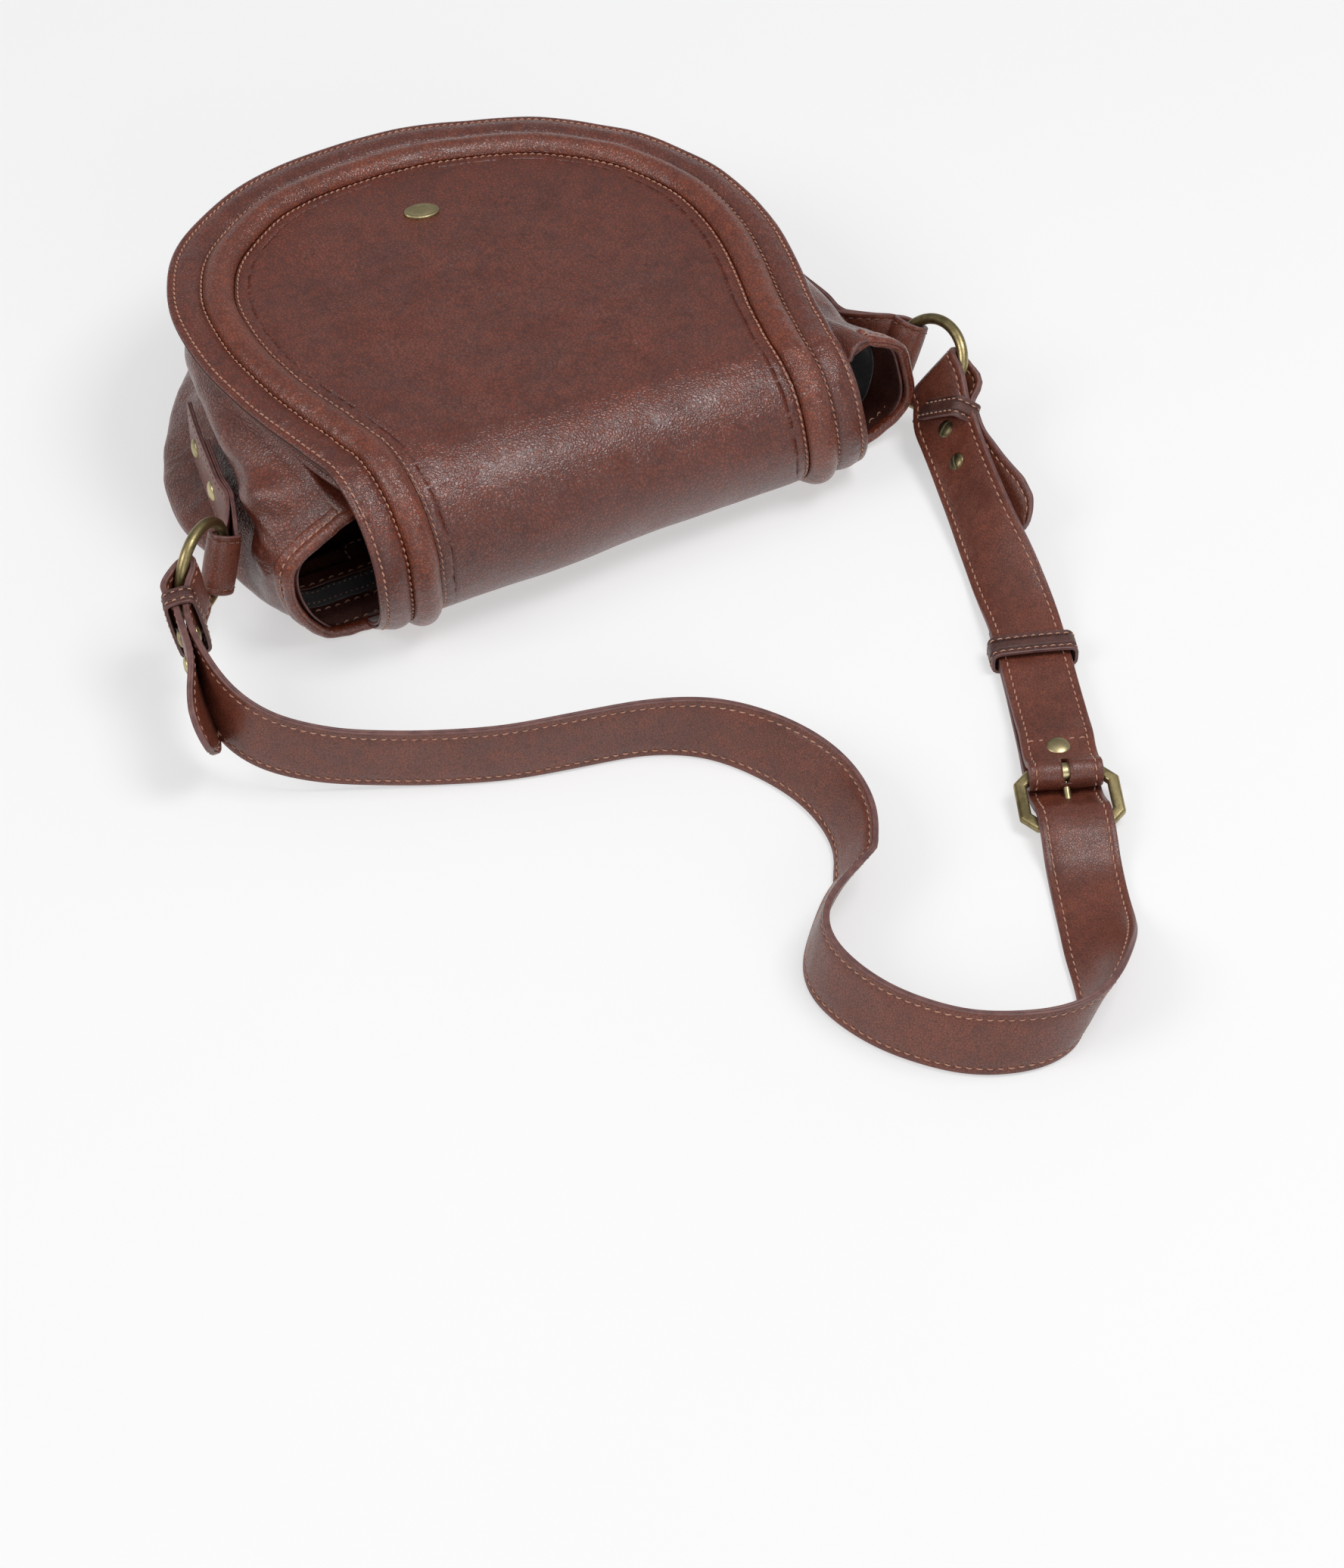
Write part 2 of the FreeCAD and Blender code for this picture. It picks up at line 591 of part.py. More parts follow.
def strap_layers(end, tail_length):
    """Main layer, turn round the wire and tail of a strap end, as ribbon stations."""
    line, wire, axis, centre, side = end
    points = [point for point, _ in line]
    lengths = running_lengths(points)
    main = []
    tail = []
    for i, (point, width_dir) in enumerate(line):
        normal = ribbon_frame(points, i, width_dir)[1] * side
        offset = layer_offset(lengths[i])
        far = max(0.0, min(1.0, (lengths[i] - 60.0) / 40.0))
        main.append((point + normal * offset * (1 - far), width_dir, STRAP_WIDTH))
        if lengths[i] < tail_length:
            tail.append((point - normal * offset, width_dir, STRAP_WIDTH))
    inward = perpendicular(centre - wire, axis)
    across = axis.cross(inward) * side
    turn = []
    for k in range(1, 12):
        angle = math.pi * k / 12.0
        point = (wire + across * (LOOP_RADIUS * math.cos(angle))
                 + inward * (LOOP_REACH * math.sin(angle)))
        turn.append((point, axis, STRAP_WIDTH))
    return main[1:], turn, tail     # the main layer starts beyond the wire


def tapered(tail, direction, taper):
    last, width_dir, _ = tail[-1]
    return tail + [(last + direction * far, width_dir, width) for far, width in taper]


def short_strap_at(distance):
    """Plan position and width direction of the short strap at a distance from the heel."""
    for (start, start_dir), (end, end_dir) in zip(SHORT_LINE[:-1], SHORT_LINE[1:]):
        start_at = (start - HEEL).dot(ALONG)
        end_at = (end - HEEL).dot(ALONG)
        if end_at <= distance <= start_at:
            share = (distance - end_at) / (start_at - end_at)
            point = end + (start - end) * share
            width_dir = end_dir + (start_dir - end_dir) * share
            return V(point.x, point.y, 0), V(width_dir.x, width_dir.y, 0).normalize()


def buckle_box(length, width, height, corner):
    """Box in the buckle's frame, with z from the ground."""
    box = Part.makeBox(length, width, height, corner)
    box.Placement = Placement(HEEL_PLAN, BUCKLE_TURN)
    return box


def long_strap():
    """Left ring to the buckle, through it and on under the short strap."""
    main, turn, tail = strap_layers(LEFT_END, 36)
    tail = tapered(tail, V(-0.24, -0.93, -0.27).normalize(), LEFT_TAPER)
    body = []
    for station in main:
        from_heel = station[0] - HEEL
        # Stations by the buckle give way to UNDER_RUN.
        if abs(from_heel.dot(BAR)) >= 40 or from_heel.dot(ALONG) <= -52:
            body.append(station)
    under = []
    for distance, z in UNDER_RUN:
        if distance > 10:
            point, width_dir = short_strap_at(distance)
        else:
            point, width_dir = HEEL + ALONG * distance, BAR
        under.append((V(point.x, point.y, z), width_dir, STRAP_WIDTH))
    strap = ribbon(tail[::-1] + turn[::-1] + body + under, STRAP)
    return strap.cut(buckle_box(5.6, 10, 9.4, V(-2.8, -15.6, 0)))   # prong hole


def short_strap():
    """Right ring to the buckle and round its heel bar."""
    main, turn, tail = strap_layers(RIGHT_END, 44)
    tail = tapered(tail, V(0.12, -0.975, -0.12).normalize(), RIGHT_TAPER)
    body = []
    for point, width_dir, width in main:
        distance = (point - HEEL).dot(ALONG)
        if distance < 9:
            continue
        z = UPPER_Z
        if distance > 46:
            z += KEEPER_RISE * min(1.0, (distance - 46) / 8.0)
        if distance < 38:
            z += HEEL_RISE * min(1.0, (38 - distance) / 12.0)
        # Settle from the free run to the flat run near the buckle.
        flat = max(0.0, min(1.0, (113 - distance) / 12.0))
        centre = V(point.x, point.y, point.z * (1 - flat) + z * flat)
        width_dir = V(width_dir.x, width_dir.y, width_dir.z * (1 - flat)).normalize()
        body.append((centre, width_dir, width))
    # Distance from the heel bar along ALONG, and height above the bar.
    wrap = [(5.0, 1.7)]
    for k in range(11):
        angle = math.radians(100 - 20 * k)
        wrap.append((-WRAP_RADIUS * math.cos(angle), WRAP_RADIUS * math.sin(angle)))
    wrap += [(5.0, -WRAP_RADIUS), (13.0, -WRAP_RADIUS), (21.0, -WRAP_RADIUS)]
    wrap = [(HEEL + ALONG * far + V(0, 0, z), BAR, STRAP_WIDTH) for far, z in wrap]
    strap = ribbon(tail[::-1] + turn[::-1] + body + wrap, STRAP)
    return strap.cut(buckle_box(5.6, 15, 14, V(-2.8, -6, 3.2)))     # prong slot


# ---- buckle ----
FRAME_HOLE = (17.1, 10.6)   # half-length, half-depth


def chamfered_rectangle(sketch, half_x, half_y, chamfer):
    near_x = half_x - chamfer
    near_y = half_y - chamfer
    corners = [
        (-near_x, -half_y), (near_x, -half_y), (half_x, -near_y), (half_x, near_y),
        (near_x, half_y), (-near_x, half_y), (-half_x, near_y), (-half_x, -near_y),
    ]
    for start, end in zip(corners, corners[1:] + corners[:1]):
        sketch.addGeometry(Part.LineSegment(V(*start, 0), V(*end, 0)), False)


def build_buckle_frame():
    half_depth = DIM["frame_depth"] / 2
    body = doc.addObject("PartDesign::Body", "buckle_frame")
    outside = body_sketch(body, "frame_sketch")
    chamfered_rectangle(outside, DIM["frame_length"] / 2, half_depth, 6.0)
    doc.recompute()
    pad = body.newObject("PartDesign::Pad", "frame_pad")
    pad.Profile = outside
    bind(pad, Length="dims.frame_bar")
    pad.Midplane = True
    doc.recompute()
    hole = body_sketch(body, "frame_hole")
    chamfered_rectangle(hole, FRAME_HOLE[0], FRAME_HOLE[1], 1.3)
    doc.recompute()
    pocket = body.newObject("PartDesign::Pocket", "frame_pocket")
    pocket.Profile = hole
    pocket.Type = "ThroughAll"
    pocket.Midplane = True
    doc.recompute()
    # The frame tips about its heel bar.
    bar_y = (half_depth + FRAME_HOLE[1]) / 2
    tipped = Placement(HEEL, BUCKLE_TURN.multiply(Rotation(V(1, 0, 0), 8.0)))
    body.Placement = tipped.multiply(Placement(V(0, -bar_y, 0), Rotation()))
    label(body, "buckle_frame")


def build_buckle_prong():
    eye = Part.makeCylinder(4.3, 3.6, V(-1.8, 0, 0), V(1, 0, 0))
    eye = eye.cut(Part.makeCylinder(3.25, 5, V(-2.5, 0, 0), V(1, 0, 0)))
    start = V(0, -3.3, -1.7)
    knee = V(0, -19.6, -7.15)
    tip = V(0, -29.6, -7.3)
    shaft = Part.makeCone(1.45, 1.15, (knee - start).Length, start, knee - start)
    point = Part.makeCone(1.15, 1.0, (tip - knee).Length, knee, tip - knee)
    prong = eye.fuse([shaft, Part.makeSphere(1.15, knee), point]).removeSplitter()
    prong.Placement = Placement(HEEL, BUCKLE_TURN)
    piece("buckle_prong", prong)


def rivet_wrap(strap):
    """Rivet through the wrapped end of the short strap; returns the strap with its hole."""
    top = UPPER_Z + HEEL_RISE + STRAP / 2 + 0.1
    place = Placement(HEEL_PLAN + ALONG * 14.5 + V(0, 0, top), Rotation())
    rivet = Part.makeCylinder(1.6, 5.6, V(0, 0, -5.2))
    rivet = rivet.fuse(Part.makeCylinder(3.0, 0.8, V(0, 0, -5.2)))
    rivet = rivet.fuse(dome(9.0, -7.4, 0.05, 4.2)).removeSplitter()
    rivet.Placement = place
    piece("buckle_rivet", rivet)
    hole = Part.makeCylinder(1.75, 9, V(0, 0, -8))
    hole = hole.fuse(Part.makeCylinder(4.35, 7, V(0, 0, 0.02)))
    hole = hole.fuse(Part.makeCylinder(3.15, 3.0, V(0, 0, -6.4)))
    hole.Placement = place
    return strap.cut(hole)


# ---- screws and keepers ----
def at_distance(line, distance):
    """Point, direction back to the wire and width direction along a line."""
    points = [point for point, _ in line]
    lengths = running_lengths(points)
    for i in range(len(lengths) - 1):
        if lengths[i] <= distance <= lengths[i + 1]:
            share = (distance - lengths[i]) / (lengths[i + 1] - lengths[i])
            back = (points[i] - points[i + 1]).normalize()
            point = points[i] + (points[i + 1] - points[i]) * share
            return point, back, perpendicular(line[i][1], back)


def screw_strap(strap, end, head_side, distances, side_name):
    """Screws and posts through both layers; returns the strap with their holes.

    head_side 1 puts the heads on the main layer, -1 on the tail.
    """
    line, side = end[0], end[4]
    radius = DIM["screw_radius"]
    hole_radius = radius + 0.15
    heads = []
    posts = []
    for distance in distances:
        point, back, width = at_distance(line, distance)
        outward = width.cross(back) * side * head_side
        place = Placement(point, Rotation(width, back, outward, "ZXY"))
        face = layer_offset(distance) + STRAP / 2   # outer face of each layer

        head = dome(7.6, face + 0.15 - 6.1, face + 0.1, radius)
        head = head.cut(Part.makeBox(12, 1.1, 2, V(-6, -0.55, face + 0.9)))
        head = head.fuse(Part.makeCylinder(1.3, face + 0.3)).removeSplitter()
        head.Placement = place
        heads.append(head)

        post = Part.makeCylinder(radius, 0.9, V(0, 0, -face - 1.0))
        post = post.fuse(Part.makeCylinder(2.3, face + 0.9, V(0, 0, -face - 0.9)))
        post = post.cut(Part.makeCylinder(1.32, 2 * face, V(0, 0, -0.4))).removeSplitter()
        post.Placement = place
        posts.append(post)

        hole = Part.makeCylinder(2.4, 2 * face + 6, V(0, 0, -face - 3))
        hole = hole.fuse([
            Part.makeCylinder(hole_radius, 4, V(0, 0, face + 0.04)),
            Part.makeCylinder(hole_radius, 4, V(0, 0, -face - 4.04)),
        ])
        hole.Placement = place
        strap = strap.cut(hole)
    piece("screws_" + side_name, Part.makeCompound(heads))
    piece("posts_" + side_name, Part.makeCompound(posts))
    return strap


def keeper(name, frame, half_width, half_height, wall, length):
    """Rectangular sleeve; frame is its centre, through direction and width direction."""
    centre, through, width = frame
    outer_x = half_width + wall
    outer_y = half_height + wall
    sleeve = Part.makeBox(2 * outer_x, 2 * outer_y, length, V(-outer_x, -outer_y, -length / 2))
    corners = [edge for edge in sleeve.Edges
               if abs((edge.Vertexes[0].Point - edge.Vertexes[1].Point).z) > length - 0.01]
    sleeve = sleeve.makeFillet(1.5, corners)
    opening = Part.makeBox(2 * half_width, 2 * half_height, length + 2,
                           V(-half_width, -half_height, -length / 2 - 1))
    sleeve = sleeve.cut(opening)
    sleeve.Placement = Placement(centre, Rotation(width, width.cross(through), through, "ZXY"))
    piece(name, sleeve)


def build_keepers():
    half_width = STRAP_WIDTH / 2
    half_height = layer_offset(5.4) + STRAP / 2
    keeper("strap_keeper_left", at_distance(LEFT_END[0], 8.9),
           half_width + 0.9, half_height + 1.0, wall=1.6, length=7.0)
    keeper("strap_keeper_right", at_distance(RIGHT_END[0], 9.6),
           half_width + 2.3, half_height + 2.9, wall=1.6, length=6.0)

    # The middle keeper holds the end of the long strap under the short one.
    upper = UPPER_Z + KEEPER_RISE
    point, width = short_strap_at(75.0)
    centre = V(point.x, point.y, (UNDER_KEEPER_Z + upper) / 2)
    keeper("strap_keeper_mid", (centre, V(-width.y, width.x, 0), width),
           half_width + 0.6, (upper - UNDER_KEEPER_Z) / 2 + STRAP / 2 + 0.35,
           wall=1.5, length=10.0)


def build_straps():
    short = rivet_wrap(short_strap())
    long = screw_strap(long_strap(), LEFT_END, -1.0, (17.5, 33.0), "left")
    short = screw_strap(short, RIGHT_END, 1.0, (19.0, 38.0), "right")
    piece("strap_long", long)
    piece("strap_short", short)


# ---- ring tabs riveted to the gusset ----
TAB_STATIONS_Y = (-48, -38, -26, -10, 6, 14)
TAB_RIVETS = ((-27, 0.13), (1, 0.2))    # y, and y part of the outward direction
TAB_HALF = 12.5                         # half-width of the loop
LOOP_A = 6.6                            # half-axes of the loop's opening
LOOP_B = 4.6
LOOP_SHIFT = 2.4                        # from the wire to the loop's centre


def wall_x(y):
    """Half-width of the gusset's third section at y."""
    widths = SECTIONS[2][1]
    for k in range(len(STATIONS_Y) - 1):
        start, end = STATIONS_Y[k], STATIONS_Y[k + 1]
        if start <= y <= end:
            return widths[k] + (widths[k + 1] - widths[k]) * (y - start) / (end - start)


def build_tab(side_name, sign, stand_off, z, plate_width):
    """Loop round the ring's wire with a strip along the gusset, and its rivets."""
    centre, _, radial, axis = ring_frame(side_name)
    wire = centre + radial * RING_RADIUS
    if axis.z <= 0:
        axis = axis * -1
    inward = perpendicular(centre - wire, axis)
    across = axis.cross(inward)

    def oval(a, b, shift):
        points = []
        for k in range(28):
            angle = 2 * math.pi * k / 28
            points.append(wire + inward * (a * math.cos(angle) + LOOP_SHIFT)
                          + across * (b * math.sin(angle)) + axis * shift)
        return Part.makePolygon(points + [points[0]])

    def oval_solid(a, b, half):
        return Part.makeLoft([oval(a, b, -half), oval(a, b, half)], True, True)

    root = wire + inward * (LOOP_SHIFT - LOOP_A - 1.2)
    stations = [(root, axis, 2 * TAB_HALF)]
    for i, y in enumerate(TAB_STATIONS_Y):
        share = min(1.0, (i + 1) / 2.0)     # turns upright over two stations
        width_dir = (axis * (1 - share) + UP * share).normalize()
        width = 2 * TAB_HALF * (1 - share) + plate_width * share
        stations.append((V(sign * (wall_x(y) + stand_off), y, z), width_dir, width))
    tab = oval_solid(LOOP_A + 2.2, LOOP_B + 2.0, TAB_HALF).fuse(ribbon(stations, 4.0))
    tab = tab.cut(oval_solid(LOOP_A, LOOP_B, TAB_HALF + 1))

    rivets = []
    for y, lean in TAB_RIVETS:
        outward = V(sign, lean, 0).normalize()
        point = V(sign * (wall_x(y) + stand_off + 0.1), y, z)
        place = Placement(point, Rotation(UP, outward))
        hole = Part.makeCylinder(1.75, 14, V(0, 0, -9))
        hole.Placement = place
        tab = tab.cut(hole)
        stem = Part.makeCylinder(1.6, 4.3, V(0, 0, -2.0))
        rivet = stem.fuse(dome(7.0, 2.3 - 5.2, 2.25, DIM["rivet_radius"])).removeSplitter()
        rivet.Placement = place
        rivets.append(rivet)
    piece("tab_" + side_name, tab)
    piece("tab_rivets_" + side_name, Part.makeCompound(rivets))


# ---- zipped pocket on the inside of the back ----
POCKET_Y = -66.0
POCKET_Z = FLOOR_Z + BODY_LINING_LIFT + BODY_LINING + 0.15
ZIP = DIM["zip_length"]
TOOTH_PITCH = 2.5
SLIDER_PLACE = Placement(V(-60, POCKET_Y, POCKET_Z), Rotation())


def build_pocket():
    facing = Part.makeBox(ZIP + 30, 34, 1.4, V(-ZIP / 2 - 15, POCKET_Y - 17, POCKET_Z + 1.0))
    slot = Part.makeBox(ZIP, 11, 4, V(-ZIP / 2, POCKET_Y - 5.5, POCKET_Z))
    piece("pocket_facing", facing.cut(slot))

    tapes = []
    for side in (-1, 1):
        corner = V(-ZIP / 2 - 8, POCKET_Y + side * 6.6 - 6, POCKET_Z + 0.1)
        tapes.append(Part.makeBox(ZIP + 16, 12, 0.7, corner))
    piece("zip_tape", Part.makeCompound(tapes))

    teeth = []
    for k in range(int(ZIP / TOOTH_PITCH) - 2):
        side = 1 if k % 2 else -1
        x = -ZIP / 2 + 3.5 + k * TOOTH_PITCH
        corner = V(x, POCKET_Y - 1.7 + side * 0.6, POCKET_Z + 0.95)
        teeth.append(Part.makeBox(1.3, 3.4, 1.5, corner))
    piece("zip_teeth", Part.makeCompound(teeth))


def build_zip_slider():
    slider = Part.makeBox(9, 8.4, 1.2, V(-4.5, -4.2, 2.75))
    for y in (-4.2, 3.2):
        slider = slider.fuse(Part.makeBox(9, 1.0, 1.9, V(-4.5, y, 1.0)))
    bridge = Part.makeBox(5.5, 1.2, 3.0, V(-2.75, -0.6, 3.9))
    bridge = bridge.cut(Part.makeCylinder(0.75, 3, V(0, -1.5, 5.4), V(0, 1, 0)))
    slider = slider.fuse(bridge).removeSplitter()
    slider.Placement = SLIDER_PLACE
    piece("zip_slider", slider)


def build_zip_pull():
    """Pin through the slider's bridge, two arms and a rounded tab."""
    pin = Part.makeCylinder(0.6, 4.4, V(0, -2.2, 5.4), V(0, 1, 0))
    arms = [Part.makeBox(5.0, 0.9, 1.2, V(0, y, 4.8)) for y in (-2.4, 1.5)]
    tab = Part.makeBox(18, 5.6, 1.2, V(4.6, -2.8, 4.8))
    tab = tab.makeFillet(0.5, tab.Edges)
    pull = pin.fuse(arms + [tab]).removeSplitter()
    pull.Placement = SLIDER_PLACE
    piece("zip_pull", pull)


def export_pieces():
    """Check every object, then write one STEP file for each piece."""
    doc.recompute()
    faults = [o.Name for o in doc.Objects if "Invalid" in o.State or "Error" in o.State]
    for obj in pieces:
        shape = obj.Shape
        if shape.isNull() or not shape.isValid() or not shape.Solids:
            faults.append(obj.Label)
    if faults:
        raise SystemExit("Faulty objects: " + ", ".join(faults))
    os.makedirs("parts", exist_ok=True)
    for obj in pieces:
        obj.Shape.exportStep("parts/%s.step" % obj.Label)


build_gusset()
build_body_lining()
build_mouth_bands()
build_back_panel()
build_front_panel()
build_flap_panel()
build_flap_border()
build_flap_piping()
build_flap_lining()
build_fold_spine()
build_badge()
build_snaps()
build_rings()
build_buckle_frame()
build_buckle_prong()
build_straps()
build_keepers()
build_tab("left", -1, stand_off=3.9, z=38, plate_width=26.0)
build_tab("right", 1, stand_off=4.7, z=27.5, plate_width=22.0)
build_pocket()
build_zip_slider()
build_zip_pull()
export_pieces()
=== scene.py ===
"""A leather shoulder bag with a flap and a buckled strap, lying on its back on a white table.

Lengths are millimetres unless noted; add_mesh turns them into metres.  The table is z = 0.
+x is the bag's right, +y its far end, where the flap closes, and z is up.  The leather folds
over a roll along the near edge (FOLD_Y).  The bag is open at the left and right of that edge:
the two mouths.  The strap lies on the table in front of the bag, towards -y.
"""
import math
import bmesh
import bpy
import numpy as np
from mathutils import Matrix, Vector


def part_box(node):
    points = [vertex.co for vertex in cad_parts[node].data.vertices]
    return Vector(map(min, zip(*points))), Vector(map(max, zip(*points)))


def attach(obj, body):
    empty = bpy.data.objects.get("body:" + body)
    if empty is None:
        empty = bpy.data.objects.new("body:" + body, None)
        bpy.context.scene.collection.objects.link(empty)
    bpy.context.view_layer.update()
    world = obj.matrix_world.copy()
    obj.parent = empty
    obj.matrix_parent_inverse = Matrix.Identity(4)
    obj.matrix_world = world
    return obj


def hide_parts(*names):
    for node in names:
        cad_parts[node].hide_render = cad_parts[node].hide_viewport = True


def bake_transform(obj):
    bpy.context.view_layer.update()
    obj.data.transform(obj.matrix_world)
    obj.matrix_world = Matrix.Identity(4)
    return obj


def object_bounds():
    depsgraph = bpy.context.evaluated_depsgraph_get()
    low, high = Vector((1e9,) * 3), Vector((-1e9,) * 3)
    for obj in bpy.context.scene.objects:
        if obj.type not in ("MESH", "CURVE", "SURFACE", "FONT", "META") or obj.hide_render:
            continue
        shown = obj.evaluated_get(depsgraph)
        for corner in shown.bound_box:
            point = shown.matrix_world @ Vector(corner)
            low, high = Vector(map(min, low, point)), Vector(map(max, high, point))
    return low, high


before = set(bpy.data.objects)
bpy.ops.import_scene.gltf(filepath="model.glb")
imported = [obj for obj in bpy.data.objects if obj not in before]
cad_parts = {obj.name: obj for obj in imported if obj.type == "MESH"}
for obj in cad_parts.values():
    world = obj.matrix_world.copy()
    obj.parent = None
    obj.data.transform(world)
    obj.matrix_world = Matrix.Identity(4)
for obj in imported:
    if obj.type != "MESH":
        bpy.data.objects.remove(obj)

CAD_LOW, CAD_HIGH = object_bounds()
MM = 0.001
pi = math.pi
SIDES = ((-1, "left"), (1, "right"))


# ------------------------------------------------------------------ numbers and curves
def vec(*parts):
    return np.array(parts, float)


UP = vec(0, 0, 1)


def unit(v):
    v = np.asarray(v, float)
    return v / np.maximum(np.linalg.norm(v, axis=-1, keepdims=True), 1e-12)


def square_to(v, axis):
    """Unit vector of v's part at right angles to axis."""
    return unit(v - axis * (v * axis).sum(-1, keepdims=True))


def sstep(start, end, x):
    """Smooth step from 0 to 1."""
    t = np.clip((np.asarray(x, float) - start) / (end - start), 0, 1)
    return t * t * (3 - 2 * t)


def gauss(x, width):
    return np.exp(-(np.asarray(x, float) / width) ** 2)


def wave_noise(points, wavelength, seed, waves=14, squeeze=(1, 1, 1)):
    """Smooth noise, about -1..1, made of plane waves near one wavelength."""
    rand = np.random.RandomState(seed)
    points = np.asarray(points, float) * np.array(squeeze)
    out = np.zeros(points.shape[:-1])
    for _ in range(waves):
        way = unit(rand.normal(size=3))
        k = 2 * pi / (wavelength * rand.uniform(0.7, 1.5))
        out += np.sin(points @ way * k + rand.uniform(0, 2 * pi))
    return out / math.sqrt(waves) / 1.1


def flat_noise(x, y, wavelength, seed, waves):
    return wave_noise(np.stack([x, y, 0 * x], -1), wavelength, seed, waves)


def natural_spline(t, values):
    """Natural cubic spline through the rows of values at t; returns a function."""
    n = len(t)
    h = np.diff(t)
    left = np.zeros((n, n))
    right = np.zeros((n, values.shape[1]))
    left[0, 0] = left[-1, -1] = 1
    for i in range(1, n - 1):
        left[i, i - 1] = h[i - 1]
        left[i, i] = 2 * (h[i - 1] + h[i])
        left[i, i + 1] = h[i]
        right[i] = 6 * ((values[i + 1] - values[i]) / h[i] - (values[i] - values[i - 1]) / h[i - 1])
    curve = np.linalg.solve(left, right)

    def at(x):
        i = np.clip(np.searchsorted(t, x) - 1, 0, n - 2)
        step = h[i][:, None]
        a = (t[i + 1] - x)[:, None]
        b = (x - t[i])[:, None]
        return (curve[i] * a ** 3 / (6 * step) + curve[i + 1] * b ** 3 / (6 * step)
                + (values[i] / step - curve[i] * step / 6) * a
                + (values[i + 1] / step - curve[i + 1] * step / 6) * b)
    return at


def arc_length(points):
    return np.concatenate([[0], np.cumsum(np.linalg.norm(np.diff(points, axis=0), axis=1))])


def interp_rows(at, s, rows):
    return np.stack([np.interp(at, s, rows[:, k]) for k in range(rows.shape[1])], 1)


def resample(points, step, extra=None):
    """Smooth curve at an even step, with its arc lengths; extra columns are carried linearly."""
    points = np.asarray(points, float)
    keep = [0]
    for i in range(1, len(points)):
        if np.linalg.norm(points[i] - points[keep[-1]]) > 0.05:
            keep.append(i)
    points = points[keep]
    seg = np.linalg.norm(np.diff(points, axis=0), axis=1)
    t = np.concatenate([[0], np.cumsum(seg ** 0.5)])
    dense_t = np.concatenate([np.linspace(t[i], t[i + 1], 24, endpoint=False)
                              for i in range(len(t) - 1)] + [[t[-1]]])
    dense = natural_spline(t, points)(dense_t)
    s = arc_length(dense)
    even = np.linspace(0, s[-1], max(2, int(round(s[-1] / step)) + 1))
    out = interp_rows(even, s, dense)
    if extra is None:
        return out, even
    return out, even, interp_rows(np.interp(even, s, dense_t), t, np.asarray(extra, float)[keep])


def resample_odd(points, step):
    """Like resample, with an odd number of points, so that one lies at the middle."""
    line, s = resample(points, step)
    if len(line) % 2 == 0:
        line, s = resample(points, s[-1] / len(line))
    return line, s


def smooth_rows(rows, kernel):
    """Running average down each column, with the ends held."""
    pad = len(kernel) // 2
    kernel = kernel / kernel.sum()
    return np.stack([np.convolve(np.pad(rows[:, k], pad, mode="edge"), kernel, "valid")
                     for k in range(rows.shape[1])], 1)


def bell_kernel(half, sigma, step=1.0):
    return np.exp(-0.5 * (np.arange(-half, half + 1) * step / sigma) ** 2)


def blend_rows(rows, other, weight):
    return rows * (1 - weight) + other * weight


# ------------------------------------------------------------------ meshes
def set_smooth(mesh, smooth=True):
    mesh.polygons.foreach_set("use_smooth", np.full(len(mesh.polygons), smooth))


def add_mesh(name, verts, faces, mats, slot, rep=(), face_mats=None, body="bag",
             tidy=False, smooth=True):
    """Object from millimetre vertices; body is the part it moves with, rep what it replaces."""
    mesh = bpy.data.meshes.new(name)
    verts = np.asarray(verts, float) * MM
    verts[:, 2] = np.maximum(verts[:, 2], 0.00003)
    mesh.from_pydata(verts.tolist(), [], [list(map(int, f)) for f in faces])
    for mat in mats:
        mesh.materials.append(mat)
    if face_mats is not None:
        mesh.polygons.foreach_set("material_index", np.asarray(face_mats, np.int32))
    set_smooth(mesh, smooth)
    mesh.validate()
    mesh.update()
    obj = bpy.data.objects.new(name, mesh)
    bpy.context.scene.collection.objects.link(obj)
    if rep:
        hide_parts(*rep)
    if body:
        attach(obj, body)
    if tidy:
        weld_and_face_out(obj)
    return obj


def weld_and_face_out(obj):
    bm = bmesh.new()
    bm.from_mesh(obj.data)
    bmesh.ops.remove_doubles(bm, verts=bm.verts, dist=1e-6)
    bmesh.ops.recalc_face_normals(bm, faces=bm.faces)
    bm.to_mesh(obj.data)
    bm.free()
    obj.data.update()


def apply_mods(obj):
    graph = bpy.context.evaluated_depsgraph_get()
    mesh = bpy.data.meshes.new_from_object(obj.evaluated_get(graph), preserve_all_data_layers=True,
                                           depsgraph=graph)
    old = obj.data
    obj.modifiers.clear()
    obj.data = mesh
    mesh.name = old.name + "_final"
    bpy.data.meshes.remove(old)


def grid_faces(nu, nv, close_u=False, close_v=False, base=0, flip=False):
    idx = np.arange(nu * nv).reshape(nu, nv) + base
    iu = np.arange(nu if close_u else nu - 1)
    iv = np.arange(nv if close_v else nv - 1)
    ju = (iu + 1) % nu
    jv = (iv + 1) % nv
    quads = np.stack([idx[np.ix_(iu, iv)], idx[np.ix_(ju, iv)],
                      idx[np.ix_(ju, jv)], idx[np.ix_(iu, jv)]], -1).reshape(-1, 4)
    return (quads[:, ::-1] if flip else quads).tolist()


def end_caps(rings, points, flip=False):
    """The two end faces of a tube."""
    first = list(range(points))
    last = list(range((rings - 1) * points, rings * points))
    return [first[::-1], last] if flip else [first, last[::-1]]


def grid_normals(grid):
    return unit(np.cross(np.gradient(grid, axis=0), np.gradient(grid, axis=1)))


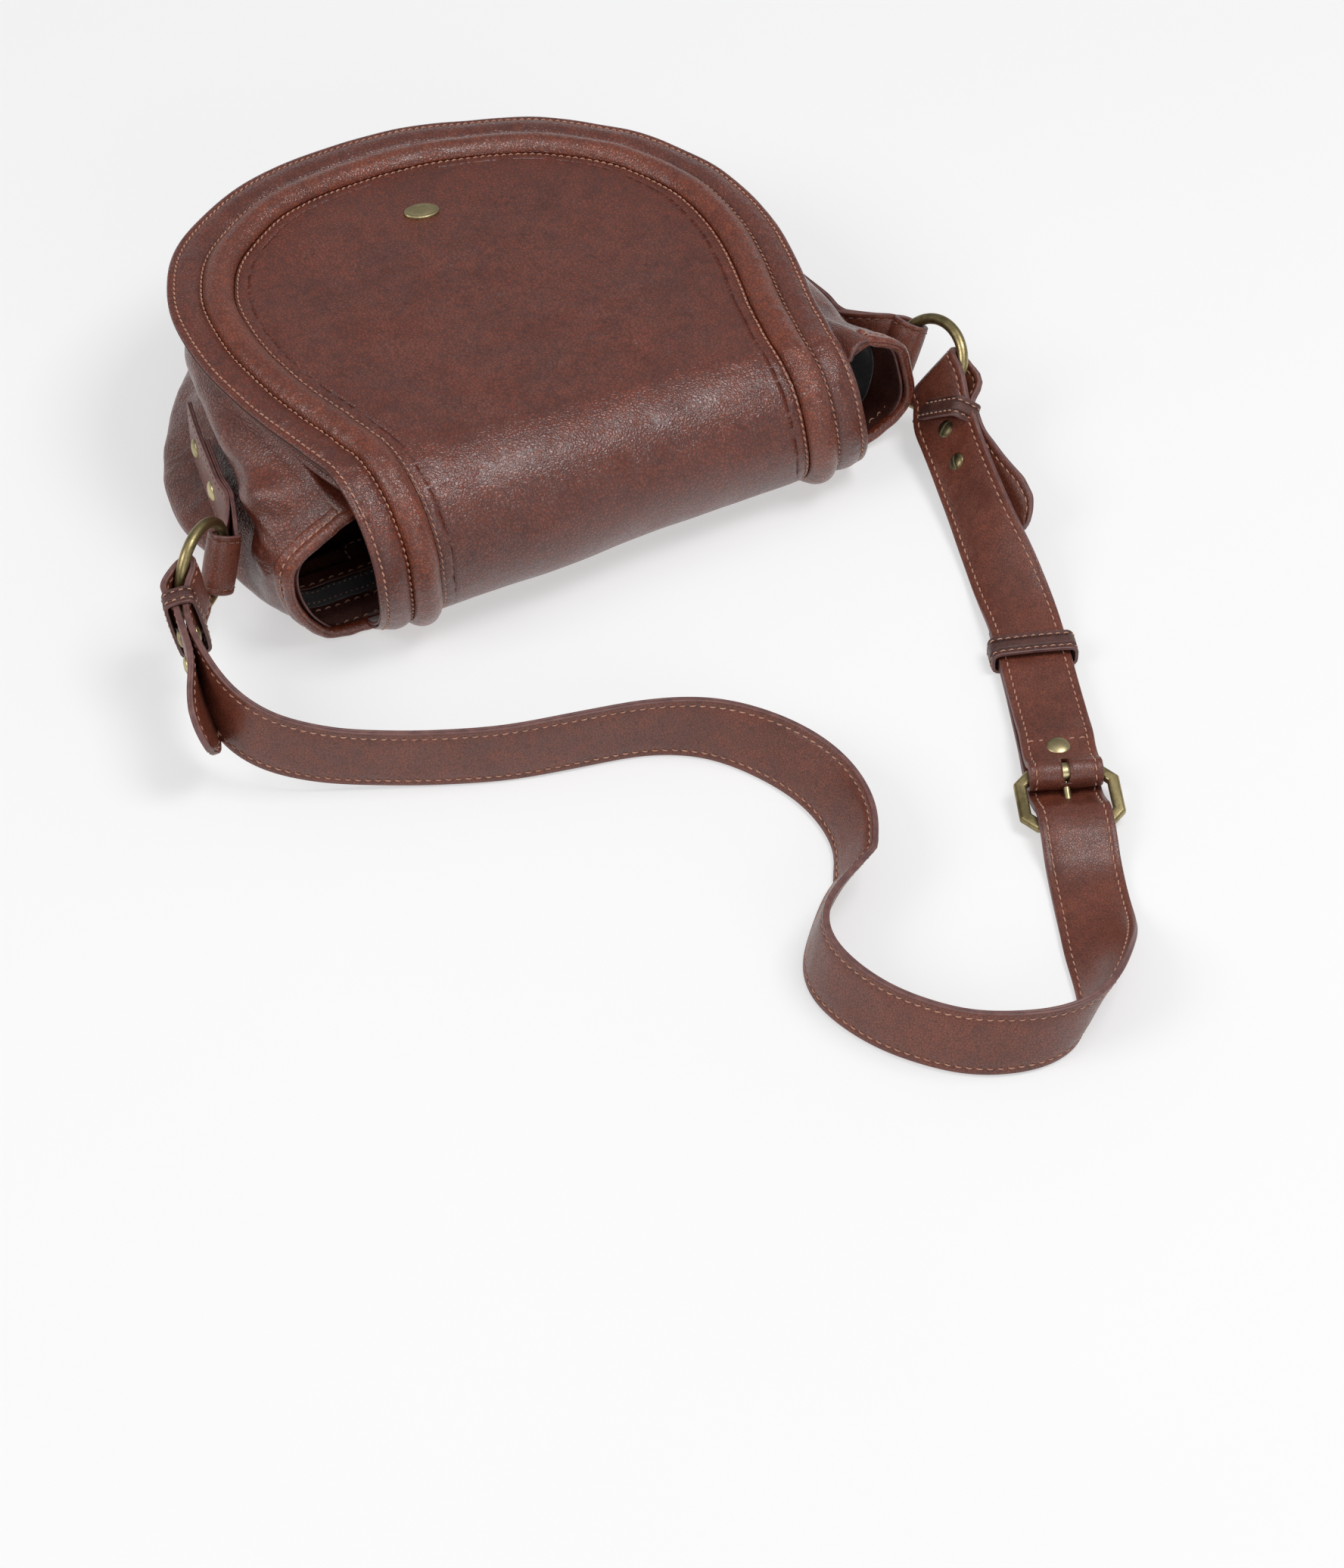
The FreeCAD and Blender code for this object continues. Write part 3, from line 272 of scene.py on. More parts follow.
def joined_grids(outer, inner, flip=False):
    """Closed solid between two like grids; material 1 marks the rim."""
    nu, nv = outer.shape[:2]
    n = nu * nv
    verts = np.concatenate([outer.reshape(-1, 3), inner.reshape(-1, 3)])
    skins = grid_faces(nu, nv, flip=flip) + grid_faces(nu, nv, base=n, flip=not flip)
    idx = np.arange(n).reshape(nu, nv)
    loop = [*idx[0, :], *idx[1:, -1], *idx[-1, -2::-1], *idx[-2:0:-1, 0]]
    rim = [[a, b, b + n, a + n] for a, b in zip(loop, loop[1:] + loop[:1])]
    if flip:
        rim = [quad[::-1] for quad in rim]
    return verts, skins + rim, [0] * len(skins) + [1] * len(rim)


def thick_sheet(grid, thickness, flip=False):
    normals = grid_normals(grid) * (-1 if flip else 1)
    return joined_grids(grid, grid - normals * thickness, flip)


def add_sheet(name, grid, thickness, mats, slot="shell_leather", rep=(), flip=False, body="bag"):
    """Leather or cloth of even thickness below a grid; a second material takes the rim."""
    verts, faces, face_mats = thick_sheet(grid, thickness, flip)
    return add_mesh(name, verts, faces, mats, slot, rep, face_mats if len(mats) > 1 else None,
                    body, tidy=True)


def lathe(profile, seg=40):
    """Solid of revolution from (radius, z) points that run from axis to axis."""
    radius, z = np.array(profile, float).T[:, :, None]
    radius = np.maximum(radius, 1e-4)
    turn = 2 * pi * np.arange(seg) / seg
    verts = np.stack([radius * np.cos(turn), radius * np.sin(turn), z + 0 * turn], -1)
    n = len(profile)
    return verts.reshape(-1, 3), grid_faces(n, seg, close_v=True, flip=True) + end_caps(n, seg, True)


def place(verts, centre, x, y, z):
    return centre + verts[:, :1] * x + verts[:, 1:2] * y + verts[:, 2:3] * z


def rounded_rect(half_x, half_y, radius, n):
    points = []
    for sx, sy, start in ((1, 1, 0), (-1, 1, 90), (-1, -1, 180), (1, -1, 270)):
        for k in range(n):
            a = math.radians(start + 90 * k / (n - 1))
            points.append((sx * (half_x - radius) + radius * math.cos(a),
                           sy * (half_y - radius) + radius * math.sin(a)))
    return points


class Shells:
    """Collects several shells into one object."""
    def __init__(self):
        self.verts = []
        self.faces = []
        self.count = 0

    def add(self, verts, faces):
        self.verts.append(verts)
        self.faces += [[i + self.count for i in map(int, f)] for f in faces]
        self.count += len(verts)

    def build(self, name, mat, slot, **kw):
        return add_mesh(name, np.concatenate(self.verts), self.faces, [mat], slot,
                        face_mats=[0] * len(self.faces), **kw)


def stitch_row(shells, path, normals, pitch=4.0, length=2.6, radius=0.34, lift=0.34, slant=0.12,
               start=0.0, end=0.0):
    """Short raised threads along a dense path in the leather's surface."""
    normals = np.broadcast_to(normals, path.shape)
    s = arc_length(path)
    total = s[-1] - start - end
    count = int(total / pitch)
    if count < 1:
        return
    gap = total / count
    tangents = unit(np.gradient(path, axis=0))
    turn = (2 * pi * np.arange(6) / 6)[None, :, None]
    u = np.linspace(-1, 1, 6)
    radii = radius * np.array([0.55, 0.92, 1.0, 1.0, 0.92, 0.55])[:, None, None]
    rise = lift * (1 - np.abs(u) ** 2.2 * 1.75)
    for k in range(count):
        half = length * (1 + 0.06 * math.sin(k * 2.3)) / 2
        at = start + (k + 0.5) * gap + u * half
        normal = unit(interp_rows(at, s, normals))
        across = np.cross(normal, unit(interp_rows(at, s, tangents)))
        mid = (interp_rows(at, s, path) + normal * rise[:, None]
               + across * (u * half * slant)[:, None])
        ring = normal[:, None] * np.cos(turn) * 0.85 + across[:, None] * np.sin(turn)
        shells.add((mid[:, None] + ring * radii).reshape(-1, 3),
                   grid_faces(6, 6, close_v=True) + end_caps(6, 6, True))


def strap_profile(thickness, crown, inset=3.0, groove=0.28):
    """Strap section: (side of the centre as a share of the half width, inset, height) points."""
    h = thickness / 2
    half = [(-1, 0.0, 0.22), (-1, 0.0, h * 0.62), (-1, 0.12, h * 0.86), (-1, 0.42, h),
            (-1, inset - 0.9, h + 0.05), (-1, inset - 0.35, h - groove * 0.6),
            (-1, inset, h - groove), (-1, inset + 0.35, h - groove * 0.6),
            (-1, inset + 1.1, h + crown * 0.3), (-0.5, 0, h + crown * 0.8), (-0.2, 0, h + crown)]
    top = half + [(-f, i, v) for f, i, v in reversed(half)]
    return top + [(1, 0.26, 0.0)] + [(-f, i, -v) for f, i, v in top] + [(-1, 0.26, 0.0)]


def sweep(line, across, half_width, profile, closed=False):
    """Runs a strap section along a line; also returns the tangents, widths and normals."""
    if closed:
        tangent = unit(np.roll(line, -1, 0) - np.roll(line, 1, 0))
    else:
        tangent = unit(np.gradient(line, axis=0))
    across = square_to(across, tangent)
    normal = np.cross(tangent, across)
    share, inset, height = np.array(profile, float).T
    half_width = np.broadcast_to(np.asarray(half_width, float), (len(line),))
    shrink = np.clip(half_width / 6.0, 0.12, 1.0)
    x = share * half_width[:, None] - np.sign(share) * inset * shrink[:, None]
    verts = line[:, None] + across[:, None] * x[..., None] + normal[:, None] * height[:, None]
    m = len(profile)
    is_edge = (np.abs(share) == 1) & (inset < 0.5)
    is_edge = is_edge & np.roll(is_edge, -1)
    faces = grid_faces(len(line), m, close_u=closed, close_v=True)
    face_mats = list(np.tile(is_edge.astype(int), len(line) - (not closed)))
    if not closed:
        faces += end_caps(len(line), m)
        face_mats += [1, 1]
    return verts.reshape(-1, 3), faces, face_mats, (tangent, across, normal)


# ------------------------------------------------------------------ materials
def srgb(r, g, b):
    out = [c / 255.0 for c in (r, g, b)]
    return (*[c / 12.92 if c <= 0.04045 else ((c + 0.055) / 1.055) ** 2.4 for c in out], 1.0)


def darken(colour, red, rest):
    return (colour[0] * red, colour[1] * rest, colour[2] * rest, 1)


class Shader:
    """A Principled material and the node helpers that feed it; scales are per metre."""
    def __init__(self, name):
        self.mat = bpy.data.materials.new(name)
        self.mat.use_nodes = True
        self.tree = self.mat.node_tree
        for node in list(self.tree.nodes):
            self.tree.nodes.remove(node)
        out = self.node("ShaderNodeOutputMaterial")
        self.principled = self.node("ShaderNodeBsdfPrincipled")
        self.link(self.principled.outputs[0], out.inputs[0])
        self.coords = self.node("ShaderNodeTexCoord").outputs["Object"]

    def node(self, kind, **settings):
        node = self.tree.nodes.new(kind)
        for key, value in settings.items():
            setattr(node, key, value)
        return node

    def link(self, a, b):
        self.tree.links.new(a, b)

    def put(self, node, values):
        """Links or sets each input in a dict."""
        for key, value in values.items():
            if hasattr(value, "is_output"):
                self.link(value, node.inputs[key])
            else:
                node.inputs[key].default_value = value

    def finish(self, values):
        self.put(self.principled, values)
        return self.mat

    def noise(self, scale, detail=3.0, rough=0.55, coords=None, distortion=0.0):
        node = self.node("ShaderNodeTexNoise")
        self.put(node, {"Vector": coords or self.coords, "Scale": scale, "Detail": detail,
                        "Roughness": rough, "Distortion": distortion})
        return node.outputs["Fac"]

    def cell_edges(self, scale, coords):
        node = self.node("ShaderNodeTexVoronoi", feature="DISTANCE_TO_EDGE")
        self.put(node, {"Vector": coords, "Scale": scale})
        return node.outputs["Distance"]

    def remap(self, fac, source, target=(0.0, 1.0)):
        node = self.node("ShaderNodeMapRange")
        self.put(node, dict(enumerate((fac, *source, *target))))
        return node.outputs[0]

    def math(self, op, a, b=0.0):
        node = self.node("ShaderNodeMath", operation=op)
        self.put(node, {0: a, 1: b})
        return node.outputs[0]

    def mix(self, fac, a, b):
        node = self.node("ShaderNodeMix", data_type="RGBA", blend_type="MIX")
        self.put(node, {0: fac, 6: a, 7: b})
        return node.outputs[2]

    def bump(self, height, dist, strength=1.0, prev=None):
        """Bump of dist metres, laid over the bump prev."""
        node = self.node("ShaderNodeBump")
        self.put(node, {"Strength": strength, "Distance": dist, "Height": height})
        if prev is not None:
            self.link(prev, node.inputs["Normal"])
        return node.outputs[0]

    def warp(self, amount, scale):
        """Object coordinates pushed about by coloured noise."""
        noise = self.node("ShaderNodeTexNoise")
        self.put(noise, {"Vector": self.coords, "Scale": scale, "Detail": 1.0})
        centred = self.node("ShaderNodeVectorMath", operation="SUBTRACT")
        self.put(centred, {0: noise.outputs["Color"], 1: (0.5, 0.5, 0.5)})
        scaled = self.node("ShaderNodeVectorMath", operation="SCALE")
        self.put(scaled, {0: centred.outputs[0], "Scale": amount})
        moved = self.node("ShaderNodeVectorMath", operation="ADD")
        self.put(moved, {0: self.coords, 1: scaled.outputs[0]})
        return moved.outputs[0]


def leather(name, base, dark, light, grain, grain_depth=0.00016, rough=0.34, coat=0.6,
            creases=0.0):
    """Pebbled leather: two sizes of cell for the grain, three colours mottled together, and painted
    shade darkening the grain's valleys.
    """
    t = Shader(name)
    base, dark, light = (srgb(*c) for c in (base, dark, light))
    coords = t.warp(amount=0.0011, scale=420.0)
    cell = t.cell_edges(grain, coords)
    small_cell = t.cell_edges(grain * 2.3, coords)
    grain_valley = t.remap(cell, (0.0, 0.20))
    mottle = t.noise(scale=34.0, detail=4.0, rough=0.6)
    mid = t.noise(scale=160.0, rough=0.6)
    fine = t.noise(scale=1600.0, detail=2.0, rough=0.5)
    colour = t.mix(t.remap(mottle, (0.34, 0.68)), dark, base)
    colour = t.mix(t.remap(mid, (0.42, 0.75), (0.0, 0.55)), colour, light)
    # the valleys between the pebbles are painted darker: painted shade in the grain's creases
    colour = t.mix(t.remap(grain_valley, (0.0, 1.0), (0.75, 0.0)), colour, darken(dark, 0.35, 0.3))
    roughness = t.math("ADD", t.remap(mid, (0.3, 0.7), (rough - 0.07, rough + 0.08)),
                       t.remap(grain_valley, (0.0, 1.0), (0.16, 0.0)))
    amount = t.remap(t.noise(scale=70.0, detail=2.0), (0.35, 0.7), (0.55, 1.25))
    pebbles = t.remap(cell, (0.0, 0.42))
    small_pebbles = t.remap(small_cell, (0.0, 0.40))
    height = t.math("ADD", pebbles, t.math("MULTIPLY", small_pebbles, 0.4))
    height = t.math("MULTIPLY", height, amount)
    normal = t.bump(t.noise(scale=330.0, detail=2.0, rough=0.5), dist=0.00010)
    if creases:
        folds = t.noise(scale=95.0, detail=2.0, distortion=1.2)
        normal = t.bump(folds, dist=0.0009, strength=creases, prev=normal)
    normal = t.bump(height, dist=grain_depth, prev=normal)
    normal = t.bump(fine, dist=0.000012, strength=0.5, prev=normal)
    return t.finish({"Base Color": colour, "Roughness": roughness, "Normal": normal,
                     "Coat Weight": coat, "Coat Roughness": 0.16, "Coat Normal": normal,
                     "Specular IOR Level": 0.5})


def edge_paint():
    t = Shader("edge_paint")
    patch = t.noise(scale=240.0, rough=0.6)
    colour = t.mix(t.remap(patch, (0.35, 0.7)), srgb(92, 60, 58), srgb(120, 82, 76))
    roughness = t.remap(patch, (0.3, 0.7), (0.42, 0.6))
    normal = t.bump(t.noise(scale=900.0), dist=0.00012, strength=0.8)
    return t.finish({"Base Color": colour, "Roughness": roughness, "Normal": normal,
                     "Coat Weight": 0.15, "Coat Roughness": 0.3})


def thread(name, light, dark):
    """Twisted thread: a diagonal wave for the plies."""
    t = Shader(name)
    light, dark = srgb(*light), srgb(*dark)
    fuzz = t.noise(scale=1500.0, detail=2.0)
    wave = t.node("ShaderNodeTexWave", wave_type="BANDS", bands_direction="DIAGONAL")
    t.put(wave, {"Vector": t.coords, "Scale": 900.0, "Distortion": 1.5})
    plies = wave.outputs["Fac"]
    colour = t.mix(t.remap(t.noise(scale=60.0, detail=2.0), (0.3, 0.7)), light, dark)
    colour = t.mix(t.remap(plies, (0, 1), (0.0, 0.22)), colour, darken(light, 0.45, 0.4))
    return t.finish({"Base Color": colour, "Roughness": t.remap(fuzz, (0.3, 0.7), (0.55, 0.75)),
                     "Normal": t.bump(plies, dist=0.0001, strength=0.8), "Sheen Weight": 0.25})


def metal(name, clean, stained, rough, patina):
    """Brushed metal with darker, rougher stains."""
    t = Shader(name)
    clean, stained = srgb(*clean), srgb(*stained)
    big = t.noise(scale=90.0, detail=4.0, rough=0.65)
    fine = t.noise(scale=900.0, rough=0.6)
    stretch = t.node("ShaderNodeMapping")
    t.put(stretch, {"Vector": t.coords, "Scale": (1.0, 14.0, 3.0)})
    scratch = t.noise(scale=420.0, detail=2.0, rough=0.6, coords=stretch.outputs[0])
    stain = t.math("MULTIPLY", t.remap(big, (0.42, 0.66)), patina)
    colour = t.mix(stain, clean, stained)
    colour = t.mix(t.remap(fine, (0.5, 0.8), (0.0, 0.3)), colour, stained)
    roughness = t.math("ADD", t.remap(scratch, (0.3, 0.7), (rough - 0.06, rough + 0.1)),
                       t.math("MULTIPLY", stain, 0.18))
    normal = t.bump(scratch, dist=0.00004, strength=0.5)
    normal = t.bump(fine, dist=0.00006, strength=0.4, prev=normal)
    return t.finish({"Base Color": colour, "Metallic": 1.0, "Roughness": roughness,
                     "Normal": normal})


def cloth(name, low, high, scale=1500.0, depth=0.00012, sheen=0.3, rough=0.85):
    """Plain weave from two crossed sine waves."""
    t = Shader(name)
    split = t.node("ShaderNodeSeparateXYZ")
    t.put(split, {0: t.coords})
    x, y, z = split.outputs
    warp = t.math("ADD", x, z)
    weft = t.math("SUBTRACT", y, t.math("MULTIPLY", z, 0.6))
    warp = t.math("SINE", t.math("MULTIPLY", warp, scale * 2))
    weft = t.math("SINE", t.math("MULTIPLY", weft, scale * 2))
    weave = t.remap(t.math("MULTIPLY", warp, weft), (-1.0, 1.0))
    wear = t.remap(t.noise(scale=60.0), (0.3, 0.7), (0.6, 1.0))
    colour = t.mix(t.math("MULTIPLY", weave, wear), srgb(*low), srgb(*high))
    normal = t.bump(weave, dist=depth, strength=0.8)
    normal = t.bump(t.noise(scale=120.0), dist=0.0006, strength=0.5, prev=normal)
    return t.finish({"Base Color": colour, "Roughness": rough, "Normal": normal,
                     "Sheen Weight": sheen, "Sheen Roughness": 0.5})


FLAP_LEATHER = leather("flap_leather", base=(112, 48, 30), dark=(92, 40, 27),
                       light=(134, 60, 34), grain=620.0)
SHELL_LEATHER = leather("shell_leather", base=(112, 50, 31), dark=(86, 39, 27),
                        light=(136, 62, 36), grain=640.0, creases=0.5)
# a lighter copy of the flap's leather: painted highlight on the raised bead, and on the mouth rims that
# also use it
LIT_BEAD_LEATHER = leather("lit_bead_leather", base=(130, 59, 34), dark=(104, 47, 30),
                       light=(152, 74, 42), grain=600.0, rough=0.32)
STRAP_LEATHER = leather("strap_leather", base=(120, 60, 42), dark=(98, 49, 35),
                        light=(138, 72, 48), grain=900.0, grain_depth=0.00007, rough=0.40,
                        coat=0.25)
KEEPER_LEATHER = leather("keeper_leather", base=(96, 54, 45), dark=(76, 44, 38),
                         light=(112, 66, 52), grain=1500.0, grain_depth=0.0001, rough=0.42,
                         coat=0.15)
INNER_LEATHER = leather("inner_leather", base=(92, 44, 32), dark=(66, 32, 25),
                        light=(106, 54, 38), grain=1000.0, rough=0.5, coat=0.05)
EDGE = edge_paint()
THREAD = thread("thread_tan", light=(200, 150, 124), dark=(172, 120, 96))
DARK_THREAD = thread("thread_brown", light=(132, 84, 66), dark=(112, 70, 56))
BRASS = metal("antique_brass", (172, 156, 114), (80, 72, 46), rough=0.33, patina=0.75)
PALE_BRASS = metal("pale_brass", (196, 182, 140), (124, 110, 76), rough=0.32, patina=0.6)
BRONZE = metal("dark_bronze", (128, 118, 88), (58, 48, 34), rough=0.34, patina=0.8)
STEEL = metal("zip_metal", (150, 146, 132), (70, 66, 58), rough=0.32, patina=0.5)
LINING = cloth("lining_cloth", (16, 15, 16), (34, 32, 33))
ZIP_CLOTH = cloth("zip_cloth", (46, 44, 46), (70, 68, 70), scale=2300.0)
SUEDE = cloth("flap_lining_suede", (74, 42, 31), (98, 58, 43), scale=2600.0, depth=0.00008,
              sheen=0.5, rough=0.9)


# ------------------------------------------------------------------ flap
SLOPE = 0.08           # fall of the bag's top per millimetre to the right
TOP_Z = 74.0           # height of the flap at x = 0
FOLD_Y = -82.5         # where the flap starts to roll down
ROLL_R = TOP_Z / 2
FLAP_PITCH = 3.2       # stitch to stitch
BAND_END = 34.0        # inset from the edge at which the panel's rungs take over

# Flap edge, from the roll's hidden end to the flap's tip:
# x of the right edge, x of the left edge (sign dropped), distance along the leather from the fold
FLAP_EDGE = [
    (120.5, 105.5, -131), (121.4, 106, -116.2), (121.6, 107.2, -104), (120.8, 109.6, -87.2),
    (119.4, 111.6, -71), (118, 112.8, -58.1), (117.2, 113, -48), (117, 113.3, -38.7),
    (117.2, 113.9, -25.8), (117.6, 114.8, -12.9), (118.4, 116.2, 0), (119.8, 118.2, 6.5),
    (122.6, 122, 20.5), (126.5, 126.5, 34.5), (131, 131, 52.5), (134, 134, 70.5),
    (135, 135, 86.5), (134.3, 134.3, 102.5), (131.5, 131.5, 119.5), (126, 126, 134.5),
    (118, 118, 149.5), (107, 107, 163), (93, 93, 174.5), (78, 78, 184), (62, 62, 190.8),
    (43, 43, 196.3), (22, 22, 200.5), (0, 0, 202),
]


def top_z(x):
    return TOP_Z - SLOPE * x


def on_flap(x, along, lift):
    """Bag coordinates of a point along the leather from the fold and lift out of it."""
    x, along, lift = np.broadcast_arrays(*(np.asarray(a, float) for a in (x, along, lift)))
    z = top_z(x)
    nz = 1 / math.sqrt(1 + SLOPE * SLOPE)
    nx = SLOPE * nz
    flat = np.stack([x + lift * nx, FOLD_Y + along, z + lift * nz], -1)
    phi = pi / 2 + np.minimum(-along / ROLL_R, pi)
    # raised detail fades out where the roll meets the table
    soft = 1 - sstep(math.radians(218), math.radians(258), phi)
    r = z / 2 + np.where(lift > 0, lift * soft, lift)
    fold = np.stack([x, FOLD_Y + r * np.cos(phi), z / 2 + r * np.sin(phi)], -1)
    over = np.maximum(-along - ROLL_R * pi, 0)
    fold[..., 1] += over
    # the left end of the roll stands a little off the table, the right end leans forward
    rising = sstep(math.radians(176), math.radians(214), phi)
    falling = 1 - sstep(math.radians(226), math.radians(258), phi)
    fold[..., 2] += 4.5 * (1 - sstep(-118, -98, x)) * rising * falling
    fold[..., 2] = np.maximum(fold[..., 2], 0.15)
    lean = -4.0 * sstep(50, 116, x)
    fold[..., 1] += lean * (1 - sstep(30, 60, over))
    flat[..., 1] += lean * (1 - sstep(0, 55, along))
    return np.where((along >= 0)[..., None], flat, fold)


edge_line, edge_s = resample_odd(
    [(r, v) for r, _, v in FLAP_EDGE] + [(-l, v) for _, l, v in reversed(FLAP_EDGE[:-1])], 1.0)
edge_tangent = unit(np.gradient(edge_line, axis=0))
edge_inward = np.stack([-edge_tangent[:, 1], edge_tangent[:, 0]], 1)
# the normals are evened out, so the inset rows don't pick up the edge's small waves
edge_inward = unit(smooth_rows(edge_inward, np.hanning(31)))


def wrinkle(s, inset, along):
    """Soft puckers across the bead and the border, strongest by the fold."""
    strength = gauss(along - 6, 62) + 0.30
    inset = inset * 0.42
    return strength * (flat_noise(s, inset, 4.2, 5, 16) * 0.15 + flat_noise(s, inset, 9.0, 9, 10) * 0.13)


def pillow(x, along):
    """The broad unevenness shared by all the flap's layers."""
    return flat_noise(x, along, 62, 21, 10) * 0.55 + flat_noise(x, along, 26, 22, 12) * 0.16


def border_lift(d):
    """Padded border with a stitched groove on each side; d is the inset from the edge."""
    crown = np.sin(pi * np.clip((d - 3.4) / 10.6, 0, 1)) ** 0.8
    return -0.9 * np.exp(-d / 0.45) - 0.42 * gauss(d - 3.0, 0.5) + 1.15 * crown \
        - 0.75 * gauss(d - 14.6, 0.75)


def bead_lift(d):
    u = np.clip((d - 21.5) / 6.6, -1, 1)
    return -0.7 + 5.0 * np.maximum(1 - u * u, 0) ** 0.55


def panel_lift(d):
    return -0.75 * np.exp(-np.maximum(d - 28.1, 0) / 0.8) - 0.35 * gauss(d - 29.6, 0.6) \
        + 1.0 * (1 - np.exp(-np.maximum(d - 29.4, 0) / 11.0))


def inset_rows(line, inward, insets):
    """x and distance along the leather of rows set in from the edge."""
    return tuple(line[:, None, k] + inward[:, None, k] * insets for k in (0, 1))


def flap_band(insets, lift_at):
    insets = np.asarray(insets, float)
    x, along = inset_rows(edge_line, edge_inward, insets)
    s = np.broadcast_to(edge_s[:, None], x.shape)
    d = np.broadcast_to(insets, x.shape)
    seams = gauss(d - 3.0, 1.4) + gauss(d - 14.2, 1.6) + gauss(d - 29.4, 1.6)
    lift = (lift_at(d) + wrinkle(s, d, along) * sstep(0.6, 3.5, d)
            - 0.10 * np.cos(2 * pi * s / FLAP_PITCH) * seams + pillow(x, along))
    return on_flap(x, along, lift)


def blend_flap(obj):
    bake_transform(obj)


def cross_rungs(x, along, min_x, columns, lift_at):
    """Rungs from the right inner line to the left one, up to where they get short."""
    cut = max(i for i in range(len(x) // 2) if x[i] > min_x)
    ends = np.stack([x, along], 1)
    u = np.linspace(0, 1, columns)[:, None]
    rungs = []
    for i in range(cut + 1):
        a, b = ends[i], ends[-1 - i]
        xy = a * (1 - u) + b * u
        rungs.append(on_flap(xy[:, 0], xy[:, 1], lift_at(xy, np.linalg.norm(b - a))))
    return np.array(rungs), cut


def add_flap_sheet(name, band, rungs, cut, thickness, mats, slot, rep, clean=False):
    """Band along the edge and the rungs inside it, welded and thickened downwards."""
    rows, cols = band.shape[:2]
    columns = rungs.shape[1]
    base = rows * cols
    faces = grid_faces(rows, cols) + grid_faces(len(rungs), columns, base=base, flip=True)
    # one face closes the tip between the last rung and the band
    faces.append([i * cols + cols - 1 for i in range(cut, rows - cut)]
                 + [base + cut * columns + k for k in range(columns - 2, 0, -1)])
    verts = np.concatenate([band.reshape(-1, 3), rungs.reshape(-1, 3)])
    obj = add_mesh(name, verts, faces, mats, slot, rep, body=None)
    bm = bmesh.new()
    bm.from_mesh(obj.data)
    bmesh.ops.remove_doubles(bm, verts=bm.verts, dist=2e-5)
    if clean:
        bmesh.ops.dissolve_degenerate(bm, edges=bm.edges, dist=1e-6)
    bmesh.ops.recalc_face_normals(bm, faces=bm.faces)
    middle = [f for f in bm.faces if abs(f.calc_center_median().y) < 0.03
              and abs(f.calc_center_median().x) < 0.03]
    if middle and middle[0].normal.z < 0:
        bmesh.ops.reverse_faces(bm, faces=bm.faces)
    bm.to_mesh(obj.data)
    bm.free()
    mod = obj.modifiers.new("thick", "SOLIDIFY")
    mod.thickness = thickness * MM
    mod.offset = -1.0
    mod.material_offset_rim = 1
    apply_mods(obj)
    set_smooth(obj.data)
    blend_flap(obj)


def add_border_and_bead():
    border = [0, 0.12, 0.35, 0.75, 1.4, 2.1, 2.6, 3.0, 3.4, 4.2, 5.5, 7.2, 9.0, 10.8, 12.4, 13.4,
              14.0, 14.5, 14.9]
    blend_flap(add_sheet("flap_border_leather", flap_band(border, border_lift), 1.7,
                         [FLAP_LEATHER, EDGE], "flap_leather", ("flap_border",), body=None))
    bead = 21.5 - 6.62 * np.cos(np.linspace(0, pi, 21))
    blend_flap(add_sheet("flap_bead_leather", flap_band(bead, bead_lift), 1.4,
                         [LIT_BEAD_LEATHER, LIT_BEAD_LEATHER], "flap_leather", ("flap_piping",), body=None))


def add_flap_panel():
    insets = np.array([28.1, 28.5, 28.9, 29.3, 29.7, 30.2, 31.0, 32.2, BAND_END])
    x, along = inset_rows(edge_line, edge_inward, insets)
    tip = along[len(edge_line) // 2, -1]

    def lift_at(xy, span):
        u = np.linspace(0, 1, len(xy))
        side_d = np.minimum(u, 1 - u) * span
        # near enough the distance from the edge, for the soft crown
        d = BAND_END + np.minimum(side_d, np.abs(tip - xy[:, 1])) * 0.9
        pucker = gauss(side_d, 26) * (gauss(xy[:, 1] + 12, 55) + 0.2) * sstep(0, 6, side_d)
        return panel_lift(d) + pillow(xy[:, 0], xy[:, 1]) \
            + flat_noise(xy[:, 0] * 0.5, xy[:, 1], 4.6, 31, 14) * 0.14 * pucker

    rungs, cut = cross_rungs(x[:, -1], along[:, -1], 15.0, 74, lift_at)
    add_flap_sheet("flap_panel_leather", flap_band(insets, panel_lift), rungs, cut, 1.6,
                   [FLAP_LEATHER, EDGE], "flap_leather", ("flap_panel", "fold_spine"), clean=True)


def add_flap_lining():
    depth = -2.05
    insets = np.array([0.15, 0.3, 0.7, 2, 6, 12, 18, 24, 30, BAND_END])
    line, inward = edge_line[::4], edge_inward[::4]
    if len(line) % 2 == 0:
        line, inward = line[:-1], inward[:-1]
    x, along = inset_rows(line, inward, insets)
    band = on_flap(x, along, depth - 0.35 * np.exp(-insets / 0.4) + pillow(x, along))
    rungs, cut = cross_rungs(x[:, -1], along[:, -1], 18.0, 40,
                             lambda xy, span: depth + pillow(xy[:, 0], xy[:, 1]))
    add_flap_sheet("flap_lining_ply", band, rungs, cut, 1.4, [SUEDE, EDGE], "lining_cloth",
                   ("flap_lining",))


def add_flap_stitching():
    rows = Shells()
    for inset, lift, lift_at in ((3.0, 0.38, border_lift), (14.1, 0.34, border_lift),
                                 (29.5, 0.38, panel_lift)):
        grid = flap_band([inset - 0.6, inset, inset + 0.6], lift_at)
        stitch_row(rows, grid[:, 1], grid_normals(grid)[:, 1], pitch=FLAP_PITCH, length=2.45,
                   radius=0.40, lift=lift, slant=0.2)
    blend_flap(rows.build("flap_stitching", THREAD, "flap_leather", body=None))


add_border_and_bead()
add_flap_panel()
add_flap_lining()
add_flap_stitching()


